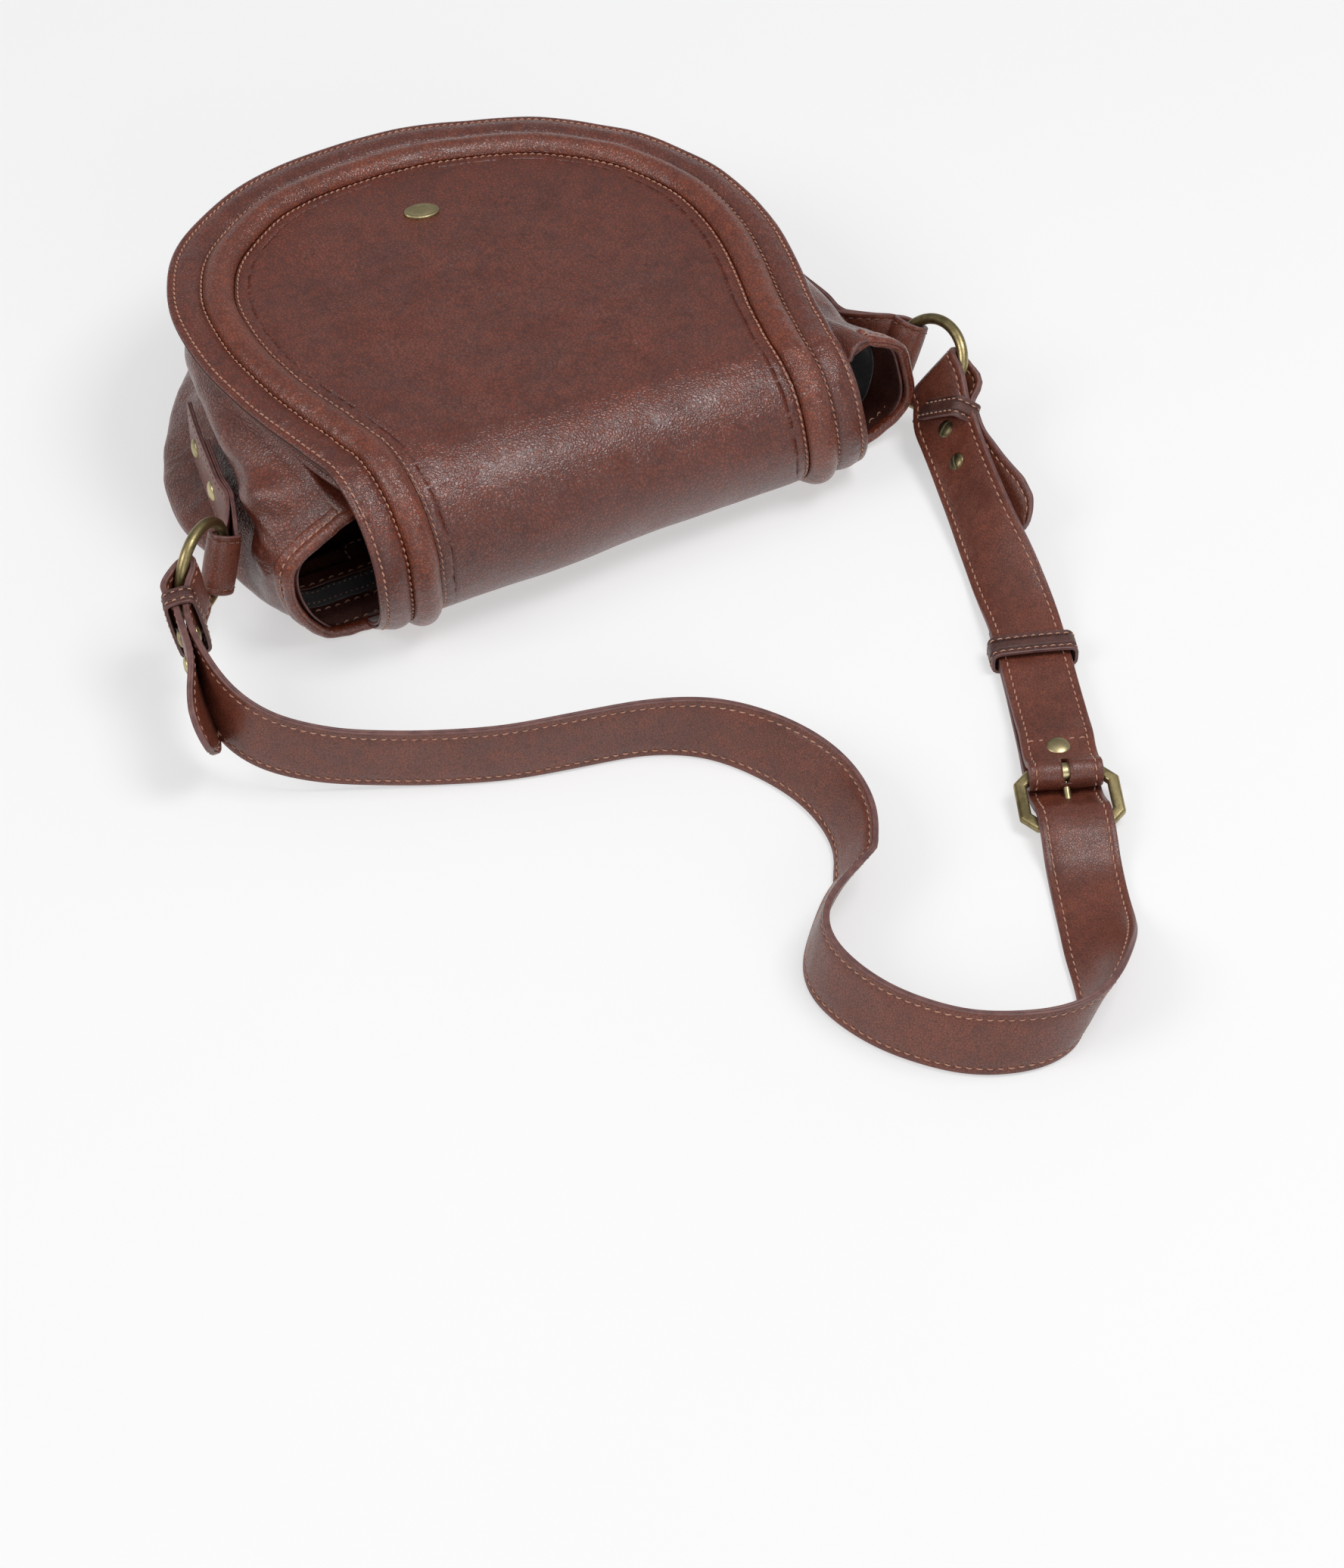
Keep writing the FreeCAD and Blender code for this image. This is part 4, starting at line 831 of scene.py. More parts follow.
# ------------------------------------------------------------------ body shell
FLOOR_Z = 2.6          # foot of the side wall
MOUTH_Y = -95.0        # near edge of the side walls
# y of the outline's stations
WALL_YS = [MOUTH_Y, -75, -50, -20, 10, 40, 65, 85, 100, 110]
# Outline at six heights: share of the wall's height, x at each station, y of the far end
LEVELS = [
    (0.00, [124, 133, 139, 143, 142, 132, 116, 97, 75, 48], 115),
    (0.13, [132, 141, 148, 152, 150, 139, 122, 103, 80, 52], 117),
    (0.26, [137, 143, 141, 137, 131, 123, 110, 92, 71, 46], 113),
    (0.74, [134, 141, 139, 136, 130, 122, 109, 91, 70, 46], 112),
    (0.87, [126, 133, 137, 138, 134, 125, 111, 93, 72, 47], 112),
    (1.00, [114, 119, 124, 128, 127, 120, 106, 88, 68, 43], 109),
]
# extra x of the right mouth at the first two stations, for each level
RIGHT_MOUTH_EXTRA = [(4, 2), (10, 5), (13, 6), (16, 7), (20, 8), (18, 8)]


def far_y(y, end):
    """Moves the far stations so that the outline ends at y = end."""
    return 60 + (y - 60) * (end - 60) / 58.0 if y > 60 else y


def mirrored(half):
    """Whole outline from its right half, which ends on x = 0."""
    return half + [(-x, y) for x, y in reversed(half[:-1])]


def level_line(i, n, inset):
    _, xs, end = LEVELS[i]
    shrink = (end - inset) / float(end)
    half = [(x - inset, far_y(y, end) * shrink if y > 60 else y) for x, y in zip(xs, WALL_YS)]
    line = np.array(mirrored(half + [(0.0, end - inset)]))
    line[:2, 0] += RIGHT_MOUTH_EXTRA[i]
    t = arc_length(line)
    return natural_spline(t / t[-1], line)(np.linspace(0, 1, n))


def body_grid(rows, n, inset=0.0, low=0.0, high=1.0):
    """Side wall from the right mouth round the far end to the left one; and the row heights."""
    lines = np.array([level_line(i, n, inset) for i in range(len(LEVELS))])
    levels = np.array([level[0] for level in LEVELS])
    share = np.linspace(low, high, rows)
    xy = natural_spline(levels, lines.reshape(len(LEVELS), -1))(share).reshape(rows, n, 2)
    x, y = xy[..., 0], xy[..., 1]
    z = FLOOR_Z + share[:, None] * (top_z(x) - 9.8 - FLOOR_Z)
    # at the mouths the left top edge sags and the right one stands up
    by_mouth = 1 - sstep(MOUTH_Y, -58, y)
    z = z + by_mouth * sstep(0.45, 0.98, share)[:, None] * np.where(x < 0, -11.0, 7.0)
    return np.concatenate([xy, z[..., None]], -1), share


def body_creases(grid, share):
    x, y, z = grid[..., 0], grid[..., 1], grid[..., 2]
    outer = sstep(95, 118, np.abs(x))
    swell = np.sin(pi * np.clip(share, 0, 1))[:, None] ** 0.6
    broad = wave_noise(grid, 46, 41, 12, (1, 1, 1.4)) * 1.5 \
        + wave_noise(grid, 20, 42, 12, (1, 0.8, 1.5)) * 0.55
    # slack folds that fan out from below the flap at the near corners
    left = gauss(y + 62, 30) * (x < 0)
    left_fan = np.sin((z * 0.55 + (y + 62) * 0.42) * 0.42 + 0.8 * np.sin(y * 0.06)) \
        * 1.5 * gauss(z - 58, 16)
    left_fan += wave_noise(grid, 10.5, 44, 12, (1, 0.45, 1.5)) * 0.75 * gauss(z - 52, 20)
    right = gauss(y + 60, 30) * (x > 0)
    right_fan = wave_noise(grid, 13, 45, 12, (1, 0.5, 1.4)) * 0.7
    fine = wave_noise(grid, 6.0, 46, 14, (1, 0.6, 1.3)) * 0.16
    total = broad * swell + (left_fan * left + right_fan * right) * outer + fine * swell
    return total * (0.02 + 0.98 * sstep(-90, -76, y))


def add_gusset():
    wall, share = body_grid(46, 380)
    normals = -grid_normals(wall)
    wall = wall + normals * body_creases(wall, share)[..., None]
    # foot turned under to the back panel: (z from FLOOR_Z, distance in)
    foot = []
    level = unit(normals[0] * np.array([1, 1, 0]))
    for dz, inset in ((-1.0, 0.35), (-1.9, 1.4), (-2.25, 3.4), (-2.3, 8.0)):
        row = wall[0] - level * inset
        row[:, 2] = FLOOR_Z + dz
        foot.append(row)
    # top rolled over the front panel's edge: (rise, distance in, extra distance in at the mouths)
    head = []
    level = unit(normals[-1] * np.array([1, 1, 0]))
    by_mouth = 1 - sstep(-92, -52, wall[-1, :, 1])
    reach = by_mouth * np.where(wall[-1, :, 0] < 0, 1.0, 0.6)
    for rise, inset, extra in ((0.9, 0.3, 0), (1.7, 1.0, 0), (2.3, 2.2, 0), (2.7, 3.8, 0),
                               (2.8, 6.0, 1.0), (2.8, 6.3, 5.0), (2.6, 6.6, 10.0),
                               (2.2, 7.0, 16.0), (1.6, 7.4, 22.0)):
        row = wall[-1] - level * (inset + extra * reach)[:, None]
        row[:, 2] = row[:, 2] + rise
        x, y, z = row.T
        # stays below the flap near the mouths
        limit = (top_z(x) - 4.6 - 2.4 * (1 - sstep(-95, -78, y))
                 + 12.0 * sstep(119.5, 126, np.abs(x)) + 50 * sstep(-62, -50, y))
        row[:, 2] = np.where(by_mouth > 0.01, np.minimum(z, limit), z)
        head.append(row)
    shell = np.concatenate([np.array(foot[::-1]), wall, np.array(head)], 0)
    add_sheet("gusset_leather", shell, 2.0, [SHELL_LEATHER, EDGE], rep=("gusset",), flip=True)


def add_lining_skin():
    n = 300
    grid, _ = body_grid(26, n, inset=7.4, low=0.03, high=0.95)
    first = int(np.argmax((grid[..., 1] > -79.0).all(0)))
    add_sheet("body_lining_skin", grid[:, first:n - first], 0.9, [LINING], "lining_cloth",
              ("body_lining",))


add_gusset()
add_lining_skin()

# ------------------------------------------------------------------ mouths
# Section of the doubled rim: distance back from its near edge, distance outwards
RIM_PROFILE = np.array([
    (8.4, 0.35), (8.2, 1.0), (7.4, 1.25), (5.4, 1.3), (4.6, 1.0), (4.2, 0.95), (3.8, 1.0),
    (3.0, 1.55), (1.8, 1.9), (0.5, 1.75), (-0.5, 1.1), (-0.9, 0.3), (-0.75, -0.25),
    (-0.55, -0.5), (-0.8, -0.8), (-0.9, -1.5), (-0.4, -2.3), (0.6, -2.8), (2.0, -2.9),
    (3.2, -2.6), (3.4, -2.35), (2.0, -2.2), (0.8, -1.2), (1.2, -0.1), (3.0, 0.05), (8.0, 0.1),
])
# Rim's run in along the table: distance in from the wall, distance in front of MOUTH_Y, z,
# then x (outwards) and z of the rim's outward direction
RIM_FOOT = [
    (27.0, 1.4, 2.0, 0.0, -1.0), (18.0, 1.6, 2.05, 0.0, -1.0), (11.0, 1.4, 2.1, 0.0, -1.0),
    (8.0, 1.0, 2.15, 0.12, -1.0), (5.2, 0.6, 2.25, 0.3, -0.95), (2.6, 0.25, 2.6, 0.55, -0.84),
]
# Rim's run in under the flap: distance in, distance behind MOUTH_Y, rise
RIM_HEAD = {
    "left": [(2.5, 0.2, 0.9), (5.5, 0.6, 1.2), (9.0, 1.2, 1.2), (13.0, 2.0, 1.0)],
    "right": [(2.5, 0.2, -0.4), (5.0, 0.6, -1.6), (8.0, 1.2, -3.2), (12.0, 2.0, -4.6)],
}
RIM_HEAD_OUT = [(0.55, 0.84), (0.3, 0.95), (0.1, 1.0), (0.0, 1.0)]


def wall_patch(inset, y_from, y_to, side, rows, n, low, high):
    """Strip of one side wall between two y values."""
    ys = np.linspace(y_from, y_to, n)
    out = []
    for row in body_grid(rows, 900, inset, low, high)[0]:
        half = (row if side > 0 else row[::-1])[:450]
        out.append(interp_rows(ys, half[:, 1], half))
    return np.array(out)


def rim_frame(side, tag, wall_line, outward, back):
    """Rim's centre line with its back and outward directions."""
    foot_x = abs(wall_line[0, 0])
    head_x, _, head_z = np.abs(wall_line[-1])
    foot = [(side * (foot_x - dx), MOUTH_Y - dy, z) for dx, dy, z, _, _ in RIM_FOOT]
    head = [(side * (head_x - dx), MOUTH_Y + dy, head_z + dz) for dx, dy, dz in RIM_HEAD[tag]]
    line = np.concatenate([foot, wall_line, head])
    out = np.concatenate([[(side * ox, 0, oz) for *_, ox, oz in RIM_FOOT], outward,
                          [(side * ox, 0, oz) for ox, oz in RIM_HEAD_OUT]])
    out = smooth_rows(out, np.hanning(9)[1:-1])
    back = np.concatenate([np.tile([0, 1.0, 0], (len(foot), 1)), back,
                           np.tile([0, 1.0, 0], (len(head), 1))])
    line, _, extra = resample(line, 1.0, np.concatenate([out, back], 1))
    # the turn at the table is rounded off
    line = line + (smooth_rows(line, bell_kernel(12, 3.6)) - line) \
        * (1 - sstep(14, 22, line[:, 2]))[:, None]
    tangent = unit(np.gradient(line, axis=0))
    back = square_to(unit(extra[:, 3:]), tangent)
    out = np.cross(tangent, back)
    return line, back, out * np.sign((out * extra[:, :3]).sum(1, keepdims=True))


def add_rim(tag, line, back, out):
    grid = line[:, None] + back[:, None] * RIM_PROFILE[None, :, :1] \
        + out[:, None] * RIM_PROFILE[None, :, 1:]
    grid[..., 2] = np.maximum(grid[..., 2], 0.2)
    grid += unit(grid - grid.mean(1, keepdims=True)) * (wave_noise(grid, 9, 61, 10) * 0.16)[..., None]
    n, m = grid.shape[:2]
    add_mesh("mouth_rim_" + tag, grid.reshape(-1, 3),
             grid_faces(n, m, close_v=True) + end_caps(n, m), [LIT_BEAD_LEATHER, EDGE],
             "shell_leather", ("mouth_band_" + tag,), tidy=True)


def add_mouth(side, tag):
    add_sheet("mouth_facing_" + tag, wall_patch(4.6, -93.5, -70.5, side, 30, 14, 0.02, 0.97), 0.9,
              [INNER_LEATHER, EDGE])
    patch = wall_patch(0.0, MOUTH_Y, -86.0, side, 70, 12, 0.0, 1.0)
    wall_line = patch[:, 0]
    outward = -side * grid_normals(patch)[:, 0]
    wall_back = unit(patch[:, 3] - wall_line)
    line, back, out = rim_frame(side, tag, wall_line, outward, wall_back)
    add_rim(tag, line, back, out)
    rows = Shells()
    stitch_row(rows, line + back * 4.2 + out * 0.98, out, length=2.8, radius=0.40, lift=0.40,
               start=1.5, end=2)
    rim_x = abs(wall_line[0, 0])

    def floor_z(x, y):
        return 6.2 + 1.6 * sstep(rim_x - 4, rim_x + 5, np.abs(x)) \
            - 3.6 * (1 - sstep(-94.4, -86, y)) + 0.25 * flat_noise(x, y, 12, 63, 8)

    # strips on the mouth's floor:
    # outer end past the rim, inner end's x, near y, far y, rise, thickness
    for name, past, x_in, y_near, y_far, rise, thick, mats, slot in (
            ("mouth_floor_", 3.0, 84.0, -94.4, -50.0, 0.0, 1.0, [INNER_LEATHER, EDGE],
             "shell_leather"),
            ("mouth_zip_band_", 7.5, 86.0, -80.5, -70.5, 1.3, 0.9, [ZIP_CLOTH, ZIP_CLOTH],
             "zip_cloth"),
            ("mouth_strip_", 8.0, 86.0, -69.0, -61.0, 1.2, 1.2, [INNER_LEATHER, EDGE],
             "shell_leather")):
        x, y = np.meshgrid(np.linspace(side * (rim_x + past), side * x_in, 26),
                           np.linspace(y_near, y_far, 16), indexing="ij")
        add_sheet(name + tag, np.stack([x, y, floor_z(x, y) + rise], -1), thick, mats, slot,
                  flip=side > 0)

    def floor_row(y, rise, past, **stitch):
        x = np.linspace(side * (rim_x + past), side * 90, 44)
        y = np.full(44, y)
        stitch_row(rows, np.stack([x, y, floor_z(x, y) + rise], 1), UP, **stitch)

    for y, rise in ((-91.2, 0.05), (-82.6, 0.10), (-67.2, 1.25)):
        floor_row(y, rise, 1.5, length=2.7, lift=0.4)
    for y in (-78.9, -72.2):
        floor_row(y, 1.35, 5.5, pitch=2.4, length=1.0, radius=0.26, lift=0.3, slant=0.05)
    stitch_row(rows, wall_line + wall_back * 7.0 - outward * 2.9, -outward, lift=0.5,
               start=3, end=3)
    rows.build("mouth_stitching_" + tag, THREAD, "shell_leather")


for side, tag in SIDES:
    add_mouth(side, tag)


# ------------------------------------------------------------------ front and back panels
def add_plan_sheet(name, outline, z_at, mats, rep, puff, seed):
    """Level panel from its outline, open at the near side; returns the resampled outline."""
    line, _ = resample_odd(outline, 2.2)
    half = len(line) // 2
    u = np.linspace(0, 1, 46)
    u = ((1 - np.cos(u * pi)) / 2 * 0.35 + u * 0.65)[:, None]
    rows = []
    for i in range(half + 1):
        a, b = line[i], line[-1 - i]
        x, y = (a * (1 - u) + b * u).T
        to_side = np.minimum(u, 1 - u)[:, 0] * np.linalg.norm(b - a)
        d = np.minimum(to_side, np.abs(line[half, 1] - y))
        h = -1.0 * np.exp(-d / 0.6) + puff * (1 - np.exp(-d / 24.0)) \
            + flat_noise(x, y, 48, seed, 10) * 0.35 * sstep(2, 12, d)
        rows.append(np.stack([x, y, z_at(x) + h], -1))
    add_sheet(name, np.array(rows), 2.0, mats, rep=rep)
    return line


def add_panels():
    drop = 6.3         # front panel's top below the flap's
    end = 107.6
    half = [(x - 1.0, max(far_y(y, end), -90.0)) for x, y in zip(LEVELS[5][1], WALL_YS)]
    front = add_plan_sheet("front_panel_leather", mirrored(half + [(0.0, end)]),
                           lambda x: top_z(x) - drop, [SHELL_LEATHER, EDGE], ("front_panel",),
                           puff=0.7, seed=5)
    end = 116.6
    half = [(117.0, FOLD_Y + 0.4), (122.0, FOLD_Y + 2.5), (131, FOLD_Y + 7)]
    half += [(x + 1.2, far_y(y, end)) for x, y in zip(LEVELS[0][1], WALL_YS)][2:]
    add_plan_sheet("back_panel_leather", mirrored(half + [(0, end)]), lambda x: 2.45,
                   [INNER_LEATHER, EDGE], ("back_panel",), puff=0.0, seed=6)
    inward = unit(np.stack([-np.gradient(front[:, 1]), np.gradient(front[:, 0])], 1))
    row = front + inward * 4.0
    row = np.concatenate([row, (top_z(row[:, 0]) - drop + 0.2)[:, None]], 1)[6:-6]
    rows = Shells()
    stitch_row(rows, row, UP, pitch=3.6, length=2.5)
    rows.build("front_panel_stitching", THREAD, "shell_leather")


add_panels()


# ------------------------------------------------------------------ inner pocket and zip tape
POCKET_LOW, POCKET_HIGH = (np.array(corner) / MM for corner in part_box("pocket_facing"))
POCKET_TOP = vec(*(POCKET_LOW + POCKET_HIGH)[:2] / 2, POCKET_HIGH[2])
POCKET_HALF = ((POCKET_HIGH - POCKET_LOW) / 2)[:2]
SLOT_HALF = vec(85.0, 5.5)     # the zip's opening, half length and half width
# From the facing's outer edge to the opening: share of the way, height
FACING_PROFILE = [
    (0, -1.4), (0, -0.5), (0.015, -0.1), (0.05, 0.15), (0.15, 0.05), (0.2, 0.25), (0.5, 0.45),
    (0.76, 0.25), (0.82, 0.05), (0.93, 0.2), (0.985, 0.0), (1, -0.5), (1, -1.4),
]


def add_pocket_facing():
    corners = np.array(rounded_rect(*POCKET_HALF, 5, 10))
    outer = []
    for a, b in zip(corners, np.roll(corners, -1, 0)):
        parts = max(1, int(np.linalg.norm(b - a) / 3.0))
        outer += [a + (b - a) * k / parts for k in range(parts)]
    outer = np.array(outer)
    n = len(outer)
    inner = np.clip(outer * (SLOT_HALF / POCKET_HALF), -SLOT_HALF, SLOT_HALF)

    def ring(share, height):
        loop = outer * (1 - share) + inner * share
        return np.concatenate([loop, np.full((n, 1), height)], 1) + POCKET_TOP

    verts = np.concatenate([ring(*point) for point in FACING_PROFILE])
    add_mesh("pocket_facing_leather", verts,
             grid_faces(len(FACING_PROFILE), n, close_u=True, close_v=True), [INNER_LEATHER],
             "shell_leather", ("pocket_facing",), tidy=True)
    rows = Shells()
    for share in (0.15, 0.83):
        loop = ring(share, 0.08)
        path, _ = resample(np.concatenate([loop, loop[:1]]), 1.0)
        stitch_row(rows, path, UP, pitch=3.6, length=2.5, slant=0.1)
    rows.build("pocket_stitching", THREAD, "shell_leather")


def add_zip_tape():
    low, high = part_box("zip_tape")
    tape = Shells()
    for s in (-1, 1):
        x, y = np.meshgrid(np.linspace(low[0] / MM, high[0] / MM, 90), np.linspace(0.5, 12.6, 12),
                           indexing="ij")
        z = high[2] / MM - 0.05 + 0.10 * np.sin(y * 2.2) + 0.05 * flat_noise(x, y, 16, 71, 8)
        verts, faces, _ = thick_sheet(np.stack([x, POCKET_TOP[1] + s * y, z], -1), 0.6, flip=s < 0)
        tape.add(verts, faces)
    tape.build("zip_tape_cloth", ZIP_CLOTH, "zip_cloth", rep=("zip_tape",), tidy=True)


add_pocket_facing()
add_zip_tape()

# ------------------------------------------------------------------ strap
STRAP_W = 30.0
STRAP_T = 2.6
RING_R = 19.0          # to the middle of the wire
STRAP_STEP = 1.9       # between the strap's sections
LOOP_R = 4.8           # half the height of the strap's turn round a ring or the buckle's bar
PLY_GAP = 1.65         # strap's middle from the middle of the doubled part, away from the ring

# Strap's centre line: x, y, z, then the direction of its width.
# Long strap, from near the buckle round the table to the left ring
LONG = np.array([
    [93.3,-323.4,0.5,0.933,-0.357,-0.032], [89.3,-333.9,0.6,0.931,-0.363,-0.023],
    [85.1,-344.4,0.8,0.926,-0.377,-0.014], [80.8,-354.8,0.9,0.923,-0.386,-0.007],
    [76.4,-365.2,0.9,0.923,-0.384,-0.003], [72.1,-375.7,1.2,0.920,-0.392,0.032],
    [67.6,-385.9,2.8,0.905,-0.385,0.182], [62.7,-395.4,6.3,0.864,-0.309,0.397],
    [57.5,-404.8,10.0,0.758,-0.237,0.607], [51.8,-414.2,12.5,0.583,-0.222,0.781],
    [45.2,-423.1,14.0,0.388,-0.224,0.894], [36.7,-430.4,15.0,0.197,-0.190,0.962],
    [26.1,-434.3,15.7,0.057,-0.100,0.993], [14.9,-434.2,15.9,0.011,0.018,1],
    [4.0,-431.4,15.9,0.033,0.098,0.995], [-6.2,-426.6,15.8,0.068,0.123,0.990],
    [-15.4,-420.0,15.8,0.098,0.119,0.988], [-23.3,-412.0,15.8,0.123,0.110,0.986],
    [-30.0,-402.9,15.7,0.150,0.102,0.983], [-35.4,-393.0,15.7,0.182,0.092,0.979],
    [-39.5,-382.5,15.6,0.217,0.074,0.973], [-41.8,-371.5,15.5,0.252,0.034,0.967],
    [-41.8,-360.2,15.4,0.259,-0.041,0.965], [-38.1,-349.6,15.4,0.213,-0.113,0.970],
    [-30.9,-340.9,15.2,0.204,-0.158,0.966], [-22.4,-333.5,14.7,0.263,-0.227,0.938],
    [-13.6,-326.5,13.9,0.333,-0.315,0.889], [-5.0,-319.2,13.3,0.385,-0.354,0.852],
    [2.4,-310.8,13.2,0.428,-0.274,0.861], [6.9,-300.5,13.3,0.456,-0.148,0.877],
    [8.8,-289.4,13.5,0.473,-0.052,0.880], [8.6,-278.1,13.7,0.458,0.022,0.889],
    [6.6,-267.0,14.1,0.414,0.082,0.906], [2.8,-256.4,14.4,0.352,0.121,0.928],
    [-2.6,-246.5,14.8,0.270,0.130,0.954], [-9.2,-237.4,15.3,0.179,0.110,0.978],
    [-17.1,-229.3,15.6,0.094,0.071,0.993], [-26.3,-222.7,15.8,0.033,0.024,0.999],
    [-36.4,-217.7,15.9,0.003,-0.013,1], [-47.1,-214.3,16.0,-0.004,-0.026,1],
    [-58.2,-211.8,16.0,-0.004,-0.022,1], [-69.2,-209.5,16.0,-0.003,-0.016,1],
    [-80.2,-207.1,16.0,-0.005,-0.018,1], [-91.1,-204.1,16.0,-0.008,-0.026,1],
    [-101.9,-200.6,16.0,-0.013,-0.034,0.999], [-112.4,-196.4,16.0,-0.013,-0.039,0.999],
    [-122.7,-191.8,16.1,0,-0.048,0.999], [-132.9,-187.2,16.4,0.032,-0.065,0.997],
    [-143.2,-182.6,17.3,0.077,-0.085,0.993], [-153.5,-178.0,18.8,0.122,-0.097,0.988],
    [-163.5,-173.3,20.7,0.162,-0.101,0.982], [-173.1,-167.8,23.1,0.200,-0.107,0.974],
    [-181.8,-161.1,25.8,0.237,-0.138,0.962], [-188.8,-153.0,29.1,0.255,-0.210,0.944],
    [-193.2,-143.3,32.9,0.195,-0.264,0.944], [-194.1,-132.5,35.9,0.084,-0.205,0.975],
    [-192.9,-121.4,37.4,-0.023,-0.103,0.994], [-190.6,-110.4,38.3,-0.115,-0.045,0.992],
    [-187.0,-99.7,39.1,-0.158,-0.018,0.987],
])
# Short strap, from the right ring to the buckle
SHORT = np.array([
    [158.8,-114.7,21.6,0.634,-0.329,0.700], [156.9,-122.7,20.0,0.632,-0.280,0.722],
    [154.6,-130.7,19.0,0.606,-0.258,0.753], [152.4,-138.7,18.1,0.580,-0.247,0.777],
    [150.4,-146.7,17.1,0.584,-0.241,0.776], [148.5,-154.7,16.0,0.597,-0.241,0.765],
    [146.5,-162.8,15.0,0.613,-0.245,0.752], [144.5,-170.8,14.0,0.643,-0.250,0.724],
    [142.5,-178.9,13.1,0.680,-0.256,0.687], [140.5,-186.9,12.1,0.708,-0.269,0.653],
    [138.6,-194.9,10.7,0.743,-0.303,0.597], [137.1,-202.7,8.3,0.862,-0.294,0.414],
    [135.7,-210.5,5.6,0.955,-0.245,0.169], [133.9,-218.4,3.8,0.962,-0.273,-0.015],
    [131.2,-226.3,3.6,0.945,-0.325,-0.029], [128.4,-234.2,3.6,0.943,-0.332,-0.029],
    [125.6,-242.0,3.6,0.940,-0.340,-0.029], [122.8,-249.8,3.6,0.938,-0.347,-0.026],
    [119.9,-257.7,3.7,0.937,-0.349,-0.022], [116.9,-265.5,3.7,0.933,-0.360,-0.017],
    [113.9,-273.2,3.9,0.928,-0.373,-0.004], [110.7,-281.0,4.1,0.926,-0.377,0.011],
    [107.6,-288.7,4.3,0.920,-0.391,0.029], [104.2,-296.3,4.9,0.907,-0.414,0.070],
    [100.6,-303.8,5.7,0.899,-0.420,0.122],
])
# Long strap's run under the buckle and the short strap: distance past the bar, z
UNDER_BUCKLE = [
    (-50, 1.9), (-42, 4.2), (-36, 7.3), (-30, 9.7), (-25.5, 10.3), (-21, 9.9), (-16, 7.0),
    (-11, 4.1), (-6, 2.0), (0, 1.7), (8, 1.7), (20, 1.7), (34, 1.7), (44, 1.7), (50, 2.2),
    (56, 3.4), (75, 3.4), (94, 3.4), (98, 3.2),
]
# Pointed tips of the strap's tails: distance past the last full section, width
LEFT_TIP = [(9, STRAP_W), (18, STRAP_W), (27, STRAP_W), (33, 24.5), (37.5, 15), (40, 7)]
RIGHT_TIP = [(9, STRAP_W), (18, STRAP_W), (28, STRAP_W), (39, 24.5), (46, 14), (49.5, 6)]

BUCKLE = vec(97.5, -312, 9.3)
BUCKLE_TURN = math.radians(-21.7)
BUCKLE_X = vec(math.cos(BUCKLE_TURN), math.sin(BUCKLE_TURN), 0)
BUCKLE_Y = vec(-BUCKLE_X[1], BUCKLE_X[0], 0)
SHORT_Z = 4.6          # short strap's middle, lying on the long one
SHORT_RISE = 4.0       # its rise to the buckle's bar
STRAP_TOP = SHORT_Z + SHORT_RISE + STRAP_T / 2     # its upper face by the buckle
KEEPER_DIST = 75.0     # sliding keeper, past the buckle's bar


def at_buckle(x, y, z):
    return BUCKLE * vec(1, 1, 0) + BUCKLE_X * x + BUCKLE_Y * y + vec(0, 0, z)


def past_bar(points):
    return (points - BUCKLE) @ BUCKLE_Y


def ring_frame(name, normal, radial):
    low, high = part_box(name)
    normal = unit(normal)
    radial = square_to(radial, normal)
    return (np.array(low) + np.array(high)) / 2 / MM, normal, radial, np.cross(normal, radial)


# each ring's centre, normal and two directions in its plane
RINGS = {
    "left": ring_frame("ring_left", vec(0.625, -0.779, 0.043), vec(0.679, 0.516, -0.516)),
    "right": ring_frame("ring_right", vec(-0.842, -0.14, 0.521), vec(-0.233, 0.967, -0.116)),
}
LEFT_RING, RIGHT_RING = RINGS["left"][0], RINGS["right"][0]


def ply_offset(dist):
    """Each ply's distance from the doubled strap's middle, dist from the ring's wire."""
    return PLY_GAP + (LOOP_R - PLY_GAP) * math.exp(-(dist / 9.0) ** 2)


def ring_loop(stations, centre, face):
    """Doubles a strap round a ring: main run, turn round the wire, tail, and the main side's sign.

    Stations start at the wire; the main run is the ply on the side of face.
    """
    wire, axis = stations[0]
    points = np.array([p for p, _ in stations])
    s = arc_length(points)
    inward = square_to(centre - wire, axis)
    q = np.cross(axis, inward)
    sign = -1.0 if q @ face < 0 else 1.0
    q = q * sign
    main = []
    tail = []
    for i, (point, width) in enumerate(stations):
        tangent = unit(points[max(i - 1, 0)] - points[min(i + 1, len(points) - 1)])
        shift = np.cross(square_to(width, tangent), tangent) * sign * ply_offset(s[i])
        far = np.clip((s[i] - 60.0) / 40.0, 0, 1)
        main.append((point + shift * (1 - far), width, s[i]))
        tail.append((point - shift, width, s[i]))
    arc = []
    for k in range(1, 12):
        a = pi * k / 12.0
        arc.append((wire + q * (LOOP_R * math.cos(a)) + inward * (14.0 * math.sin(a)), axis, STRAP_W))
    return main, arc, tail, sign


def strap_end(arc, tail, full, way, tip, twist):
    """Path from the tail's pointed tip to the ring, then round its wire."""
    path = [(point, width, STRAP_W) for point, width, s in tail if s < full]
    point, width, _ = path[-1]
    for dist, size in tip:
        path.append((point + unit(way) * dist, unit(width + twist * sstep(0, 22, dist)), size))
    return path[::-1] + arc[::-1]


def short_at(dist):
    """Point and width direction, both level, of the short strap past the buckle's bar."""
    for a, b in zip(SHORT[:-1], SHORT[1:]):
        dist_a, dist_b = past_bar(a[:3]), past_bar(b[:3])
        if dist_b <= dist <= dist_a:
            mid = b + (a - b) * (dist - dist_b) / (dist_a - dist_b)
            return vec(mid[0], mid[1], 0), unit(vec(mid[3], mid[4], 0))


